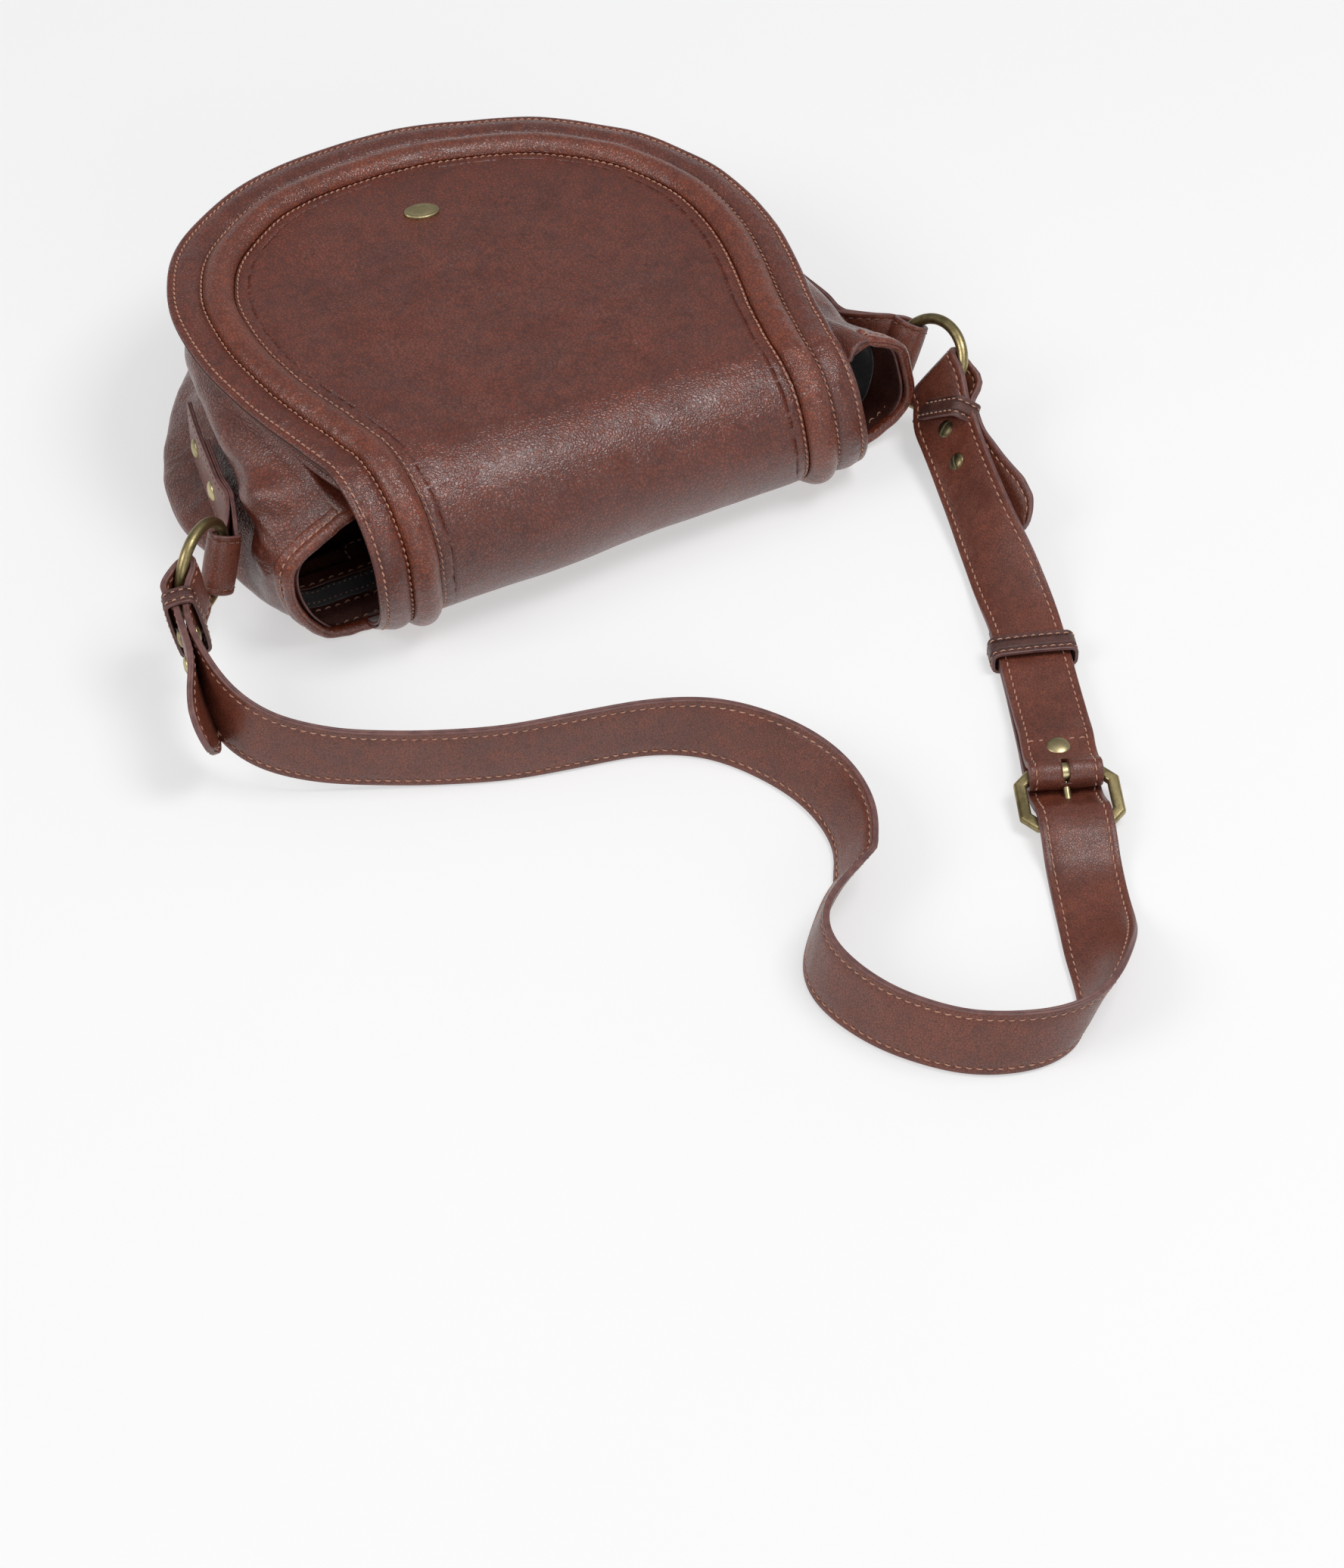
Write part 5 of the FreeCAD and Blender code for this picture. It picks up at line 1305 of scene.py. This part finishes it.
def long_path():
    """Stations from the left ring's wire, the whole ribbon path, and the main side's sign."""
    centre, _, radial, other = RINGS["left"]
    a = math.radians(225)
    wire = centre + radial * RING_R * math.cos(a) + other * RING_R * math.sin(a)
    axis = unit(radial * math.sin(a) - other * math.cos(a))
    stations = [(wire, axis)] + [(row[:3], row[3:]) for row in LONG[::-1]]
    main, arc, tail, sign = ring_loop(stations, centre, vec(1, 0, 0))
    path = strap_end(arc, tail, 36, vec(-0.24, -0.93, -0.27), LEFT_TIP, vec(-0.34, 0.16, 0))
    for point, width, s in main:
        by_buckle = abs((point - BUCKLE) @ BUCKLE_X) < 40 and past_bar(point) > -52
        if s > 0.5 and not by_buckle:
            path.append((point, width, STRAP_W))
    for dist, z in UNDER_BUCKLE:
        point, width = short_at(dist) if dist > 10 else (at_buckle(0, dist, 0), BUCKLE_X)
        path.append((vec(point[0], point[1], z), width, STRAP_W))
    return stations, path, sign


def short_path():
    """As long_path, from the right ring to the turn round the buckle's bar."""
    centre, normal, _, _ = RINGS["right"]
    way = square_to(vec(0, -0.966, -0.258), normal)
    axis = unit(np.cross(normal, way))
    stations = [(centre + way * RING_R, axis if axis[2] > 0 else -axis)]
    stations += [(row[:3], row[3:]) for row in SHORT]
    main, arc, tail, sign = ring_loop(stations, centre, UP)
    path = strap_end(arc, tail, 44, vec(0.12, -0.975, -0.12), RIGHT_TIP, vec(0, 0, 0))
    for point, width, s in main:
        dist = past_bar(point)
        if s < 0.5 or dist < 9:
            continue
        # lies on the long strap, with steps up at the end of the overlap and at the bar
        z = SHORT_Z + 1.7 * np.clip((dist - 46) / 8.0, 0, 1) \
            + SHORT_RISE * np.clip((38 - dist) / 12.0, 0, 1)
        f = np.clip((113 - dist) / 12.0, 0, 1)
        path.append((vec(point[0], point[1], point[2] * (1 - f) + z * f),
                     unit(width * vec(1, 1, 1 - f)), STRAP_W))
    # the turn round the bar: distance past the bar, height from it
    turn = [(5.0, 1.7)]
    for k in range(11):
        a = math.radians(100 - 20 * k)
        turn.append((-LOOP_R * math.cos(a), LOOP_R * math.sin(a)))
    turn += [(5.0, -LOOP_R), (13.0, -LOOP_R), (21.0, -LOOP_R)]
    path += [(at_buckle(0, y, BUCKLE[2] + z), BUCKLE_X, STRAP_W) for y, z in turn]
    return stations, path, sign


def settled_ribbon(path):
    """Lifts the path clear of the table and keeps its width directions from flipping."""
    points, widths = (np.array([p[k] for p in path], float) for k in (0, 1))
    sizes = np.array([p[2] for p in path], float)
    for i in range(len(points)):
        tangent = unit(points[min(i + 1, len(points) - 1)] - points[max(i - 1, 0)])
        width = square_to(widths[i], tangent)
        normal = np.cross(tangent, width)
        low = points[i, 2] - abs(width[2]) * sizes[i] / 2 - abs(normal[2]) * 1.5
        if low < 0.25:
            points[i, 2] += 0.25 - low
    for i in range(1, len(widths)):
        if widths[i] @ widths[i - 1] < 0:
            widths[i] = -widths[i]
    return points, np.concatenate([unit(widths), sizes[:, None]], 1)


def ring_distance(line, centre):
    return np.linalg.norm(line - centre, axis=1)


def add_strap(name, path, rep, seed, is_long):
    """The strap's leather; returns its object and its stitches, not yet built."""
    line, s, extra = resample(*(lambda p, e: (p, STRAP_STEP, e))(*settled_ribbon(path)))
    across = unit(extra[:, :3])
    half_width = extra[:, 3] / 2
    # evens out the run between the fittings
    dist = past_bar(line)
    aside = np.abs((line - BUCKLE) @ BUCKLE_X)
    free = np.minimum(sstep(26, 40, ring_distance(line, LEFT_RING)),
                      sstep(26, 40, ring_distance(line, RIGHT_RING)))
    free = free * np.where(aside < 30, np.maximum(sstep(16, 30, dist), sstep(38, 52, -dist)), 1.0)
    kernel = bell_kernel(9, 5.5, STRAP_STEP)
    line = blend_rows(line, smooth_rows(line, kernel), free[:, None])
    across = unit(blend_rows(across, smooth_rows(across, kernel), free[:, None]))
    overlap = (sstep(26, 42, dist) * (aside < 42)
               * sstep(40, 60, ring_distance(line, RIGHT_RING)))[:, None]
    kernel = bell_kernel(24, 14.0, STRAP_STEP)
    line = blend_rows(line, smooth_rows(line, kernel), overlap)
    across = unit(blend_rows(across, smooth_rows(across, kernel), overlap))
    if is_long:
        # the sharp kink where the long strap has been folded
        kink = int(np.argmin(np.linalg.norm(line[:, :2] - np.array([-1.0, -324.0]), axis=1)))
        push = 2.7 * np.exp(-np.sqrt((s - s[kink]) ** 2 + 1.2) / 6.5)
        line = line + vec(0.8815, -0.4722, 0) * push[:, None]
    profile = strap_profile(STRAP_T, 0.28)
    verts, faces, face_mats, (tangent, across, normal) = sweep(line, across, half_width, profile)
    # ridges where it bends hard, faint undulation elsewhere
    m = len(profile)
    share, _, height = np.array(profile, float).T
    bend = np.concatenate([[0], np.linalg.norm(np.diff(tangent, axis=0), axis=1)]) / STRAP_STEP
    bend = smooth_rows(bend[:, None], np.hanning(13))
    zero = np.zeros((len(line), m))
    local = np.stack([s[:, None] + zero, share * half_width[:, None], np.sign(height) * 40 + zero], -1)
    ridges = wave_noise(local, 4.6, seed, 12, (1, 0.22, 1)) * 0.32 * sstep(0.016, 0.05, bend)
    soft = wave_noise(local, 30, seed + 1, 10) * 0.22
    wobble = flat_noise(s, 0 * s, 26, seed + 2, 8) * 0.12
    relief = (ridges + soft) * (1 - np.abs(share) ** 4)
    grid = verts.reshape(len(line), m, 3) + normal[:, None] * relief[..., None] \
        + across[:, None] * wobble[:, None, None]
    obj = add_mesh(name, grid.reshape(-1, 3), faces, [STRAP_LEATHER, EDGE], "strap_leather", rep,
                   face_mats)
    rows = Shells()
    wide = half_width > 5.5
    first = np.argmax(wide)
    last = len(wide) - np.argmax(wide[::-1])
    # no stitches on the long strap's underside where it passes through the sliding keeper
    near = np.linalg.norm(line[:, :2] - np.array([122.7, -249.9]), axis=1) < 10.0
    for sx in (-1, 1):
        for face in (-1, 1):
            out = normal * face
            row = line + across * (sx * (half_width - 3.0) + wobble)[:, None] \
                + out * (STRAP_T / 2 - 0.28)
            runs = [(first, last)]
            if is_long and near.any() and out[near][:, 2].mean() < 0:
                runs = [(first, int(np.argmax(near))),
                        (len(near) - int(np.argmax(near[::-1])), last)]
            for a, b in runs:
                stitch_row(rows, row[a:b], out[a:b], length=2.8, lift=0.30,
                           slant=0.12 * sx * face, start=1.0, end=1.0)
    return obj, rows


def cut_prong_slot(obj):
    """Rounded slot through the short strap for the buckle's prong."""
    radius, near, far = 1.5, -6.2, 4.6
    n = 20
    verts = []
    for z in (6.0, 17.0):
        for k in range(n):
            a = 2 * pi * k / n
            y = (near + far) / 2 + ((far - near) / 2 - radius) * (1 if math.sin(a) > 0 else -1) \
                + radius * math.sin(a)
            verts.append(at_buckle(radius * math.cos(a), y, z))
    mesh = bpy.data.meshes.new("cutter")
    mesh.from_pydata((np.array(verts) * MM).tolist(), [],
                     grid_faces(2, n, close_v=True) + end_caps(2, n))
    cutter = bpy.data.objects.new("cutter", mesh)
    bpy.context.scene.collection.objects.link(cutter)
    weld_and_face_out(cutter)
    mod = obj.modifiers.new("slot", "BOOLEAN")
    mod.object = cutter
    mod.operation = "DIFFERENCE"
    mod.solver = "EXACT"
    apply_mods(obj)
    bpy.data.objects.remove(cutter)
    bpy.data.meshes.remove(mesh)


long_stations, path, long_sign = long_path()
_, long_rows = add_strap("strap_long_leather", path, ("strap_long",), 81, True)
short_stations, path, short_sign = short_path()
short_obj, short_rows = add_strap("strap_short_leather", path, ("strap_short",), 91, False)
cut_prong_slot(short_obj)
# transverse seam by the buckle
seam = np.array([at_buckle(x, 18.4, STRAP_TOP + 0.05) for x in np.linspace(-12.5, 12.5, 40)])
stitch_row(short_rows, seam, UP, length=2.9, radius=0.36, lift=0.36, slant=0.1)
long_rows.build("strap_long_stitching", THREAD, "strap_leather")
short_rows.build("strap_short_stitching", THREAD, "strap_leather")


# ------------------------------------------------------------------ rings and buckle
def add_ring(tag):
    """Round wire, slightly uneven, with a faint weld."""
    centre, normal, radial, other = RINGS[tag]
    a = np.linspace(0, 2 * pi, 144, endpoint=False)
    b = np.linspace(0, 2 * pi, 24, endpoint=False)
    from_weld = ((a - 1.1 + pi) % (2 * pi)) - pi
    wire = 2.4 + 0.05 * np.sin(a * 3 + 1) + 0.12 * gauss(from_weld, 0.03) \
        - 0.04 * gauss(from_weld, 0.012)
    way = radial * np.cos(a)[:, None] + other * np.sin(a)[:, None]
    grid = centre + way[:, None] * (RING_R + wire[:, None] * np.cos(b))[..., None] \
        + normal * (wire[:, None] * np.sin(b))[..., None]
    add_mesh("ring_wire_" + tag, grid.reshape(-1, 3), grid_faces(144, 24, True, True), [BRASS],
             "antique_brass", ("ring_" + tag,), body="ring_" + tag, tidy=True)


def add_buckle_frame():
    """Flat bars with bevelled edges and cut corners; its near-strap bar is at BUCKLE."""
    tilt = math.radians(8.0)
    half_x, half_y, corner = 19.3, 12.8, 4.9
    # section of a bar: distance out from its line, height
    section = [(2.0, -0.9), (2.0, 0.9), (1.1, 1.95), (-2.1, 1.95), (-2.9, 1.2), (-2.9, -1.2),
               (-2.1, -1.95), (1.1, -1.95)]
    verts = []
    for out, z in section:
        x, y, c = half_x + out, half_y + out, corner + out * 0.586
        verts += [(-x + c, -y, z), (x - c, -y, z), (x, -y + c, z), (x, y - c, z), (x - c, y, z),
                  (-x + c, y, z), (-x, y - c, z), (-x, -y + c, z)]
    frame_y = BUCKLE_Y * math.cos(tilt) + vec(0, 0, math.sin(tilt))
    verts = place(np.array(verts) - vec(0, half_y, 0), BUCKLE, BUCKLE_X, frame_y,
                  np.cross(BUCKLE_X, frame_y))
    obj = add_mesh("buckle_frame_bars", verts, grid_faces(8, 8, True, True), [BRASS],
                   "antique_brass", ("buckle_frame",), tidy=True, smooth=False)
    mod = obj.modifiers.new("soft", "BEVEL")
    mod.width = 0.00042
    mod.segments = 3
    mod.limit_method = "ANGLE"
    mod.angle_limit = math.radians(20)
    apply_mods(obj)
    set_smooth(obj.data)


def dome_profile(radius, height):
    return [(0, height)] + [(radius * math.sin(a), height * (1 - (1 - math.cos(a)) * 0.98))
                            for a in np.linspace(0.12, 1.5, 12)] \
        + [(radius, 0.0), (radius * 0.98, -0.5), (0, -0.5)]


def add_domes(name, places, radius, height, rep):
    """Rivet caps at (centre, direction) places."""
    caps = Shells()
    verts, faces = lathe(dome_profile(radius, height))
    for centre, z in places:
        z = unit(z)
        x = unit(np.cross(vec(0.3, 1, 0.2), z))
        caps.add(place(verts, centre, x, np.cross(z, x), z), faces)
    caps.build(name, PALE_BRASS, "antique_brass", rep=rep, tidy=True)


def strap_frame(stations, dist):
    """Point, tangent and width direction of a strap, dist from its ring's wire."""
    points = np.array([p for p, _ in stations])
    s = arc_length(points)
    i = int(np.clip(np.searchsorted(s, dist) - 1, 0, len(points) - 2))
    centre = points[i] + (points[i + 1] - points[i]) * (dist - s[i]) / (s[i + 1] - s[i])
    tangent = unit(points[i] - points[i + 1])
    return centre, tangent, square_to(stations[i][1], tangent)


def slotted_head(radius, height, turn):
    """Domed screw head with a slot cut across it, turned about its axis."""
    ys = np.array(sorted(set(list(np.linspace(-1, 1, 23)) + [-0.17, -0.15, -0.149, 0.149, 0.15, 0.17])))
    x, y = np.meshgrid(np.linspace(-1, 1, 25), ys, indexing="ij")
    # square to disc
    u = x * np.sqrt(1 - y ** 2 / 2)
    w = y * np.sqrt(1 - x ** 2 / 2)
    z = height * np.sqrt(np.maximum(1 - np.clip(u ** 2 + w ** 2, 0, 1) * 0.96, 0)) - 0.2
    z = np.where(np.abs(y) < 0.155, z - 0.95, z)
    top = np.stack([u * radius, w * radius, z], -1)
    base = top.copy()
    base[..., 2] = -0.6
    verts, faces, _ = joined_grids(top, base)
    c, s = math.cos(turn), math.sin(turn)
    x, y, z = verts.T
    return np.stack([x * c - y * s, x * s + y * c, z], 1), faces


def add_screws(tag, stations, sign, dists, head_mat):
    """Screws through the doubled strap, slotted on one face and domed on the other."""
    heads = Shells()
    posts = Shells()
    dome, dome_faces = lathe(dome_profile(4.0, 1.5), 36)
    for i, dist in enumerate(dists):
        centre, tangent, x = strap_frame(stations, dist)
        q = np.cross(x, tangent) * sign
        out = q * (ply_offset(dist) + STRAP_T / 2 + 0.35)
        y = np.cross(q, x)
        verts, faces = slotted_head(4.0, 1.7, 0.5 + 0.9 * i)
        heads.add(place(verts, centre + out, x, y, q), faces)
        posts.add(place(dome, centre - out, x, -y, -q), dome_faces)
    heads.build("screw_heads_" + tag, head_mat, "antique_brass", rep=("screws_" + tag,), tidy=True)
    posts.build("screw_posts_" + tag, PALE_BRASS, "antique_brass", rep=("posts_" + tag,), tidy=True)


for _, tag in SIDES:
    add_ring(tag)
add_buckle_frame()
add_domes("buckle_rivet_cap", [(at_buckle(0, 14.5, STRAP_TOP + 0.1), UP)], 5.0, 1.9,
          ("buckle_rivet",))
add_screws("left", long_stations, -long_sign, (17.5, 33.0), PALE_BRASS)
add_screws("right", short_stations, short_sign, (19.0, 38.0), BRONZE)

# ------------------------------------------------------------------ keepers
KEEPER_T = 1.5


def add_keeper(name, centre, tangent, width, half_w, half_h, length, rep, body="bag", seam=False):
    """Leather band round the strap; half_w and half_h are its opening's."""
    up = np.cross(width, tangent)
    half_w += KEEPER_T / 2
    half_h += KEEPER_T / 2
    corners = rounded_rect(half_w, half_h, min(half_h * 0.85, 2.6), 7)
    corners = np.array(corners + corners[:1])
    d = arc_length(corners)
    n = max(60, int(d[-1] / 1.2))
    x, y = interp_rows(np.linspace(0, d[-1], n, endpoint=False), d, corners).T
    y = y + 0.5 * np.sign(y) * (1 - (x / half_w) ** 2).clip(0)
    line = centre + width * x[:, None] + up * y[:, None]
    verts, faces, face_mats, (_, across, normal) = sweep(
        line, np.tile(tangent, (n, 1)), length / 2,
        strap_profile(KEEPER_T, 0.12, inset=2.0, groove=0.2), closed=True)
    add_mesh(name, verts, faces, [KEEPER_LEATHER, EDGE], "strap_leather", rep, face_mats, body,
             tidy=True)
    if ((line - centre) * normal).sum() <= 0:
        normal = -normal
    line, across, normal = (np.concatenate([a, a[:1]]) for a in (line, across, normal))
    rows = Shells()
    for sx in (-1, 1):
        stitch_row(rows, line + across * (sx * (length / 2 - 2.0)) + normal * (KEEPER_T / 2 - 0.2),
                   normal, pitch=3.4, length=2.4, radius=0.32, slant=0.08)
    if seam:
        # the band's two ends meet in the middle of the top face, caught by short stitches
        up = up if up[2] > 0 else -up
        top = centre + up * (half_h + 0.5 + KEEPER_T / 2)
        verts = [top + width * a * 0.34 + tangent * b * (length / 2 - 0.35) + up * h
                 for a in (-1, 1) for b in (-1, 1) for h in (-0.6, 0.06)]
        faces = [[0, 1, 3, 2], [4, 6, 7, 5], [0, 4, 5, 1], [2, 3, 7, 6], [0, 2, 6, 4], [1, 5, 7, 3]]
        add_mesh(name + "_seam", verts, faces, [EDGE], "strap_leather", body=body, tidy=True)
        for share in (-0.28, 0.0, 0.28):
            row = np.array([top + tangent * (length * share) + width * x
                            for x in np.linspace(-2.1, 2.1, 9)])
            stitch_row(rows, row, up, pitch=6.0, length=3.6, radius=0.32, lift=0.3, slant=0.05)
    rows.build(name + "_stitching", THREAD, "strap_leather", body=body)


doubled_half = ply_offset(7.4) + STRAP_T / 2       # half the doubled strap's thickness by a ring
add_keeper("keeper_left_leather", *strap_frame(long_stations, 9.8), STRAP_W / 2 + 0.6,
           doubled_half + 0.45, 8.4, ("strap_keeper_left",))
centre, tangent, width = strap_frame(short_stations, 9.6)
skew = math.radians(17)
add_keeper("keeper_right_leather", centre,
           unit(tangent * math.cos(skew) + width * math.sin(skew)),
           unit(width * math.cos(skew) - tangent * math.sin(skew)),
           STRAP_W / 2 + 0.9, doubled_half + 0.6, 9.5, ("strap_keeper_right",))
centre, width = short_at(KEEPER_DIST)
add_keeper("keeper_mid_leather", centre + vec(0, 0, (3.4 + 6.3) / 2 + 0.75),
           vec(-width[1], width[0], 0), width, STRAP_W / 2 + 1.6, 1.45 + STRAP_T / 2 + 1.1, 11.0,
           ("strap_keeper_mid",), body="keeper_mid", seam=True)


# ------------------------------------------------------------------ ring tabs
def add_tab(tag, side, z, gap, plate_w):
    """Leather tab on a side wall, doubled round its ring; gap is its distance off the wall."""
    centre, _, radial, other = RINGS[tag]
    wire = centre + radial * RING_R
    axis = other if other[2] > 0 else -other
    inward = square_to(centre - wire, axis)
    q = np.cross(axis, inward)
    if q[0] * side < 0:
        q = -q

    def on_wall(y, off):
        return vec(side * (float(np.interp(y, WALL_YS, LEVELS[2][1])) + gap + off), y, z)

    ply = 1.1          # each ply's distance from the tab's middle
    ys = (-48, -38, -26, -10, 6, 15.5)
    path = [(on_wall(y, ply), UP, plate_w) for y in reversed(ys)]
    # from the outer ply round the wire and back on the inner side
    for a in np.linspace(-0.80 * pi, 0.80 * pi, 19):
        turn = inward * (2.4 + 7.6 * math.cos(a)) - q * (5.6 * math.sin(a))
        path.append((wire + turn, axis, 25.0))
    path += [(on_wall(y, -ply), UP, plate_w) for y in ys[:4]]
    points, widths = (np.array([p[k] for p in path]) for k in (0, 1))
    sizes = np.array([[p[2]] for p in path])
    line, _, extra = resample(points, 1.2, np.concatenate([widths, sizes], 1))
    half_width = extra[:, 3] / 2
    verts, faces, face_mats, (_, across, normal) = sweep(
        line, unit(extra[:, :3]), half_width, strap_profile(2.0, 0.2, inset=2.6, groove=0.24))
    add_mesh("tab_strip_" + tag, verts, faces, [STRAP_LEATHER, EDGE], "strap_leather",
             ("tab_" + tag,), face_mats)
    if normal[5, 0] * side <= 0:
        normal = -normal
    rows = Shells()
    for sx in (-1, 1):
        row = line + across * (sx * (half_width - 2.6))[:, None] + normal * (1.0 - 0.24)
        stitch_row(rows, row[3:], normal[3:], pitch=3.8, slant=0.1)
    rows.build("tab_stitching_" + tag, DARK_THREAD, "strap_leather")
    places = [(on_wall(y, 2 * ply), vec(side, lean, 0)) for y, lean in ((-27, 0.13), (1, 0.2))]
    add_domes("tab_rivet_caps_" + tag, places, 4.4, 1.9, ("tab_rivets_" + tag,))


add_tab("left", -1, z=38.0, gap=3.9, plate_w=26.0)
add_tab("right", 1, z=27.5, gap=4.7, plate_w=22.0)

# ------------------------------------------------------------------ badge, snap, zip metal
flap_cos = 1 / math.sqrt(1 + SLOPE * SLOPE)
FLAP_X = vec(flap_cos, 0, -SLOPE * flap_cos)
FLAP_Y = vec(0, 1, 0)
FLAP_OUT = vec(SLOPE * flap_cos, 0, flap_cos)


def add_badge():
    """Oval plate with a raised rim, slightly turned on the flap."""
    verts, faces = lathe([(0, 1.75), (0.3, 1.75), (0.7, 1.65), (0.80, 1.45), (0.86, 1.45),
                          (0.93, 1.6), (0.985, 1.35), (1.0, 0.9), (1.0, -0.2), (0, -0.2)], 72)
    centre = vec(-5, 56.8, top_z(-5)) + FLAP_OUT * 0.6
    verts = place(verts * np.array([8.0, 5.0, 1.0]), centre, unit(FLAP_X - FLAP_Y * 0.08),
                  unit(FLAP_Y + FLAP_X * 0.08), FLAP_OUT)
    add_mesh("badge_oval", verts, faces, [PALE_BRASS], "antique_brass", ("badge_plate",),
             body="flap", tidy=True)


def add_snap(name, depth, facing, body):
    """One half of the snap under the flap."""
    verts, faces = lathe([(0, 0.9), (2.4, 0.9), (2.8, 1.3), (3.6, 1.3), (4.2, 0.7), (6.8, 0.75),
                          (7.6, 1.25), (8.6, 1.1), (9.0, 0.5), (9.0, -0.8), (0, -0.8)], 56)
    verts = place(verts, vec(0, 62, TOP_Z) - FLAP_OUT * depth, FLAP_X, FLAP_Y * facing,
                  FLAP_OUT * facing)
    add_mesh(name + "_disc", verts, faces, [BRASS], "antique_brass", (name,), body=body, tidy=True)


add_badge()
add_snap("snap_upper", depth=3.55, facing=-1, body="flap")
add_snap("snap_lower", depth=4.6, facing=1, body="bag")
# loaded pieces that keep their own meshes
for name, mat in (("zip_teeth", STEEL), ("zip_slider", STEEL), ("zip_pull", STEEL),
                  ("buckle_prong", PALE_BRASS)):
    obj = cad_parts[name]
    if len(obj.material_slots) == 0:
        obj.data.materials.append(mat)
    for slot in obj.material_slots:
        slot.link = "OBJECT"
        slot.material = mat


# ------------------------------------------------------------------ table, light, camera (metres)
def add_floor():
    """White table; its glow keeps part of its brightness in the shadows."""
    t = Shader("floor_white")
    patch = t.remap(t.noise(scale=3.0, detail=2.0), (0.3, 0.7))
    t.finish({"Base Color": t.mix(patch, (0.43, 0.43, 0.43, 1), (0.44, 0.44, 0.44, 1)),
              "Roughness": 0.9, "Specular IOR Level": 0.1,
              "Emission Color": (1, 1, 1, 1), "Emission Strength": 0.50})
    mesh = bpy.data.meshes.new("floor")
    s = 12.0
    mesh.from_pydata([(-s, -s, 0), (s, -s, 0), (s, s, 0), (-s, s, 0)], [], [(0, 1, 2, 3)])
    mesh.materials.append(t.mat)
    obj = bpy.data.objects.new("floor", mesh)
    bpy.context.scene.collection.objects.link(obj)


def set_world():
    """Grey surround graded by height."""
    world = bpy.data.worlds.new("studio")
    bpy.context.scene.world = world
    world.use_nodes = True
    nodes, links = world.node_tree.nodes, world.node_tree.links
    background = nodes["Background"]
    coords = nodes.new("ShaderNodeTexCoord")
    split = nodes.new("ShaderNodeSeparateXYZ")
    ramp = nodes.new("ShaderNodeValToRGB")
    links.new(coords.outputs["Generated"], split.inputs[0])
    links.new(split.outputs[2], ramp.inputs[0])
    links.new(ramp.outputs[0], background.inputs[0])
    stops = ramp.color_ramp.elements
    stops[0].position = 0.0
    stops[0].color = (0.62, 0.62, 0.625, 1)
    stops[1].position = 1.0
    stops[1].color = (0.75, 0.75, 0.76, 1)
    stops.new(0.22).color = (0.32, 0.32, 0.325, 1)
    stops.new(0.74).color = (0.26, 0.26, 0.265, 1)
    background.inputs[1].default_value = 1.0


def add_softbox(name, offset, height, aim_z, size, power):
    """Area light offset in x and y from the bag's middle, aimed at the middle."""
    light = bpy.data.lights.new(name, "AREA")
    light.shape = "RECTANGLE"
    light.size, light.size_y = size
    light.energy = power
    obj = bpy.data.objects.new(name, light)
    bpy.context.scene.collection.objects.link(obj)
    middle = (CAD_LOW + CAD_HIGH) / 2
    obj.location = (middle.x + offset[0], middle.y + offset[1], height)
    obj.rotation_mode = "QUATERNION"
    aim = Vector((middle.x, middle.y, aim_z)) - obj.location
    obj.rotation_quaternion = aim.to_track_quat("-Z", "Y")


def add_camera():
    data = bpy.data.cameras.new("camera")
    data.sensor_width = 36.0
    data.lens = 104.2
    data.clip_start = 0.05
    data.clip_end = 50
    obj = bpy.data.objects.new("camera", data)
    bpy.context.scene.collection.objects.link(obj)
    right = Vector((0.8815, -0.4722, 0.0)).normalized()
    up = Vector((0.3339, 0.6233, 0.7071)).normalized()
    back = right.cross(up).normalized()
    up = back.cross(right)
    place_at = (-0.6459, -1.3686, 1.2856)
    obj.matrix_world = Matrix((*zip(right, up, back, place_at), (0, 0, 0, 1)))
    bpy.context.scene.camera = obj


KEY_POWER = 16.0       # watts
add_floor()
set_world()
add_softbox("softbox_top", offset=(0.64, -0.50), height=1.72, aim_z=0, size=(0.75, 0.75),
            power=KEY_POWER)
add_softbox("softbox_left", offset=(-1.9, 0.0), height=1.6, aim_z=0.03, size=(1.1, 1.1),
            power=KEY_POWER * 1.25)
add_softbox("softbox_front", offset=(-0.2, -2.6), height=1.3, aim_z=0.03, size=(1.8, 0.9),
            power=KEY_POWER * 0.8)
add_camera()
view = bpy.context.scene.view_settings
view.view_transform = "Standard"
view.look = "None"
view.exposure = 0.0
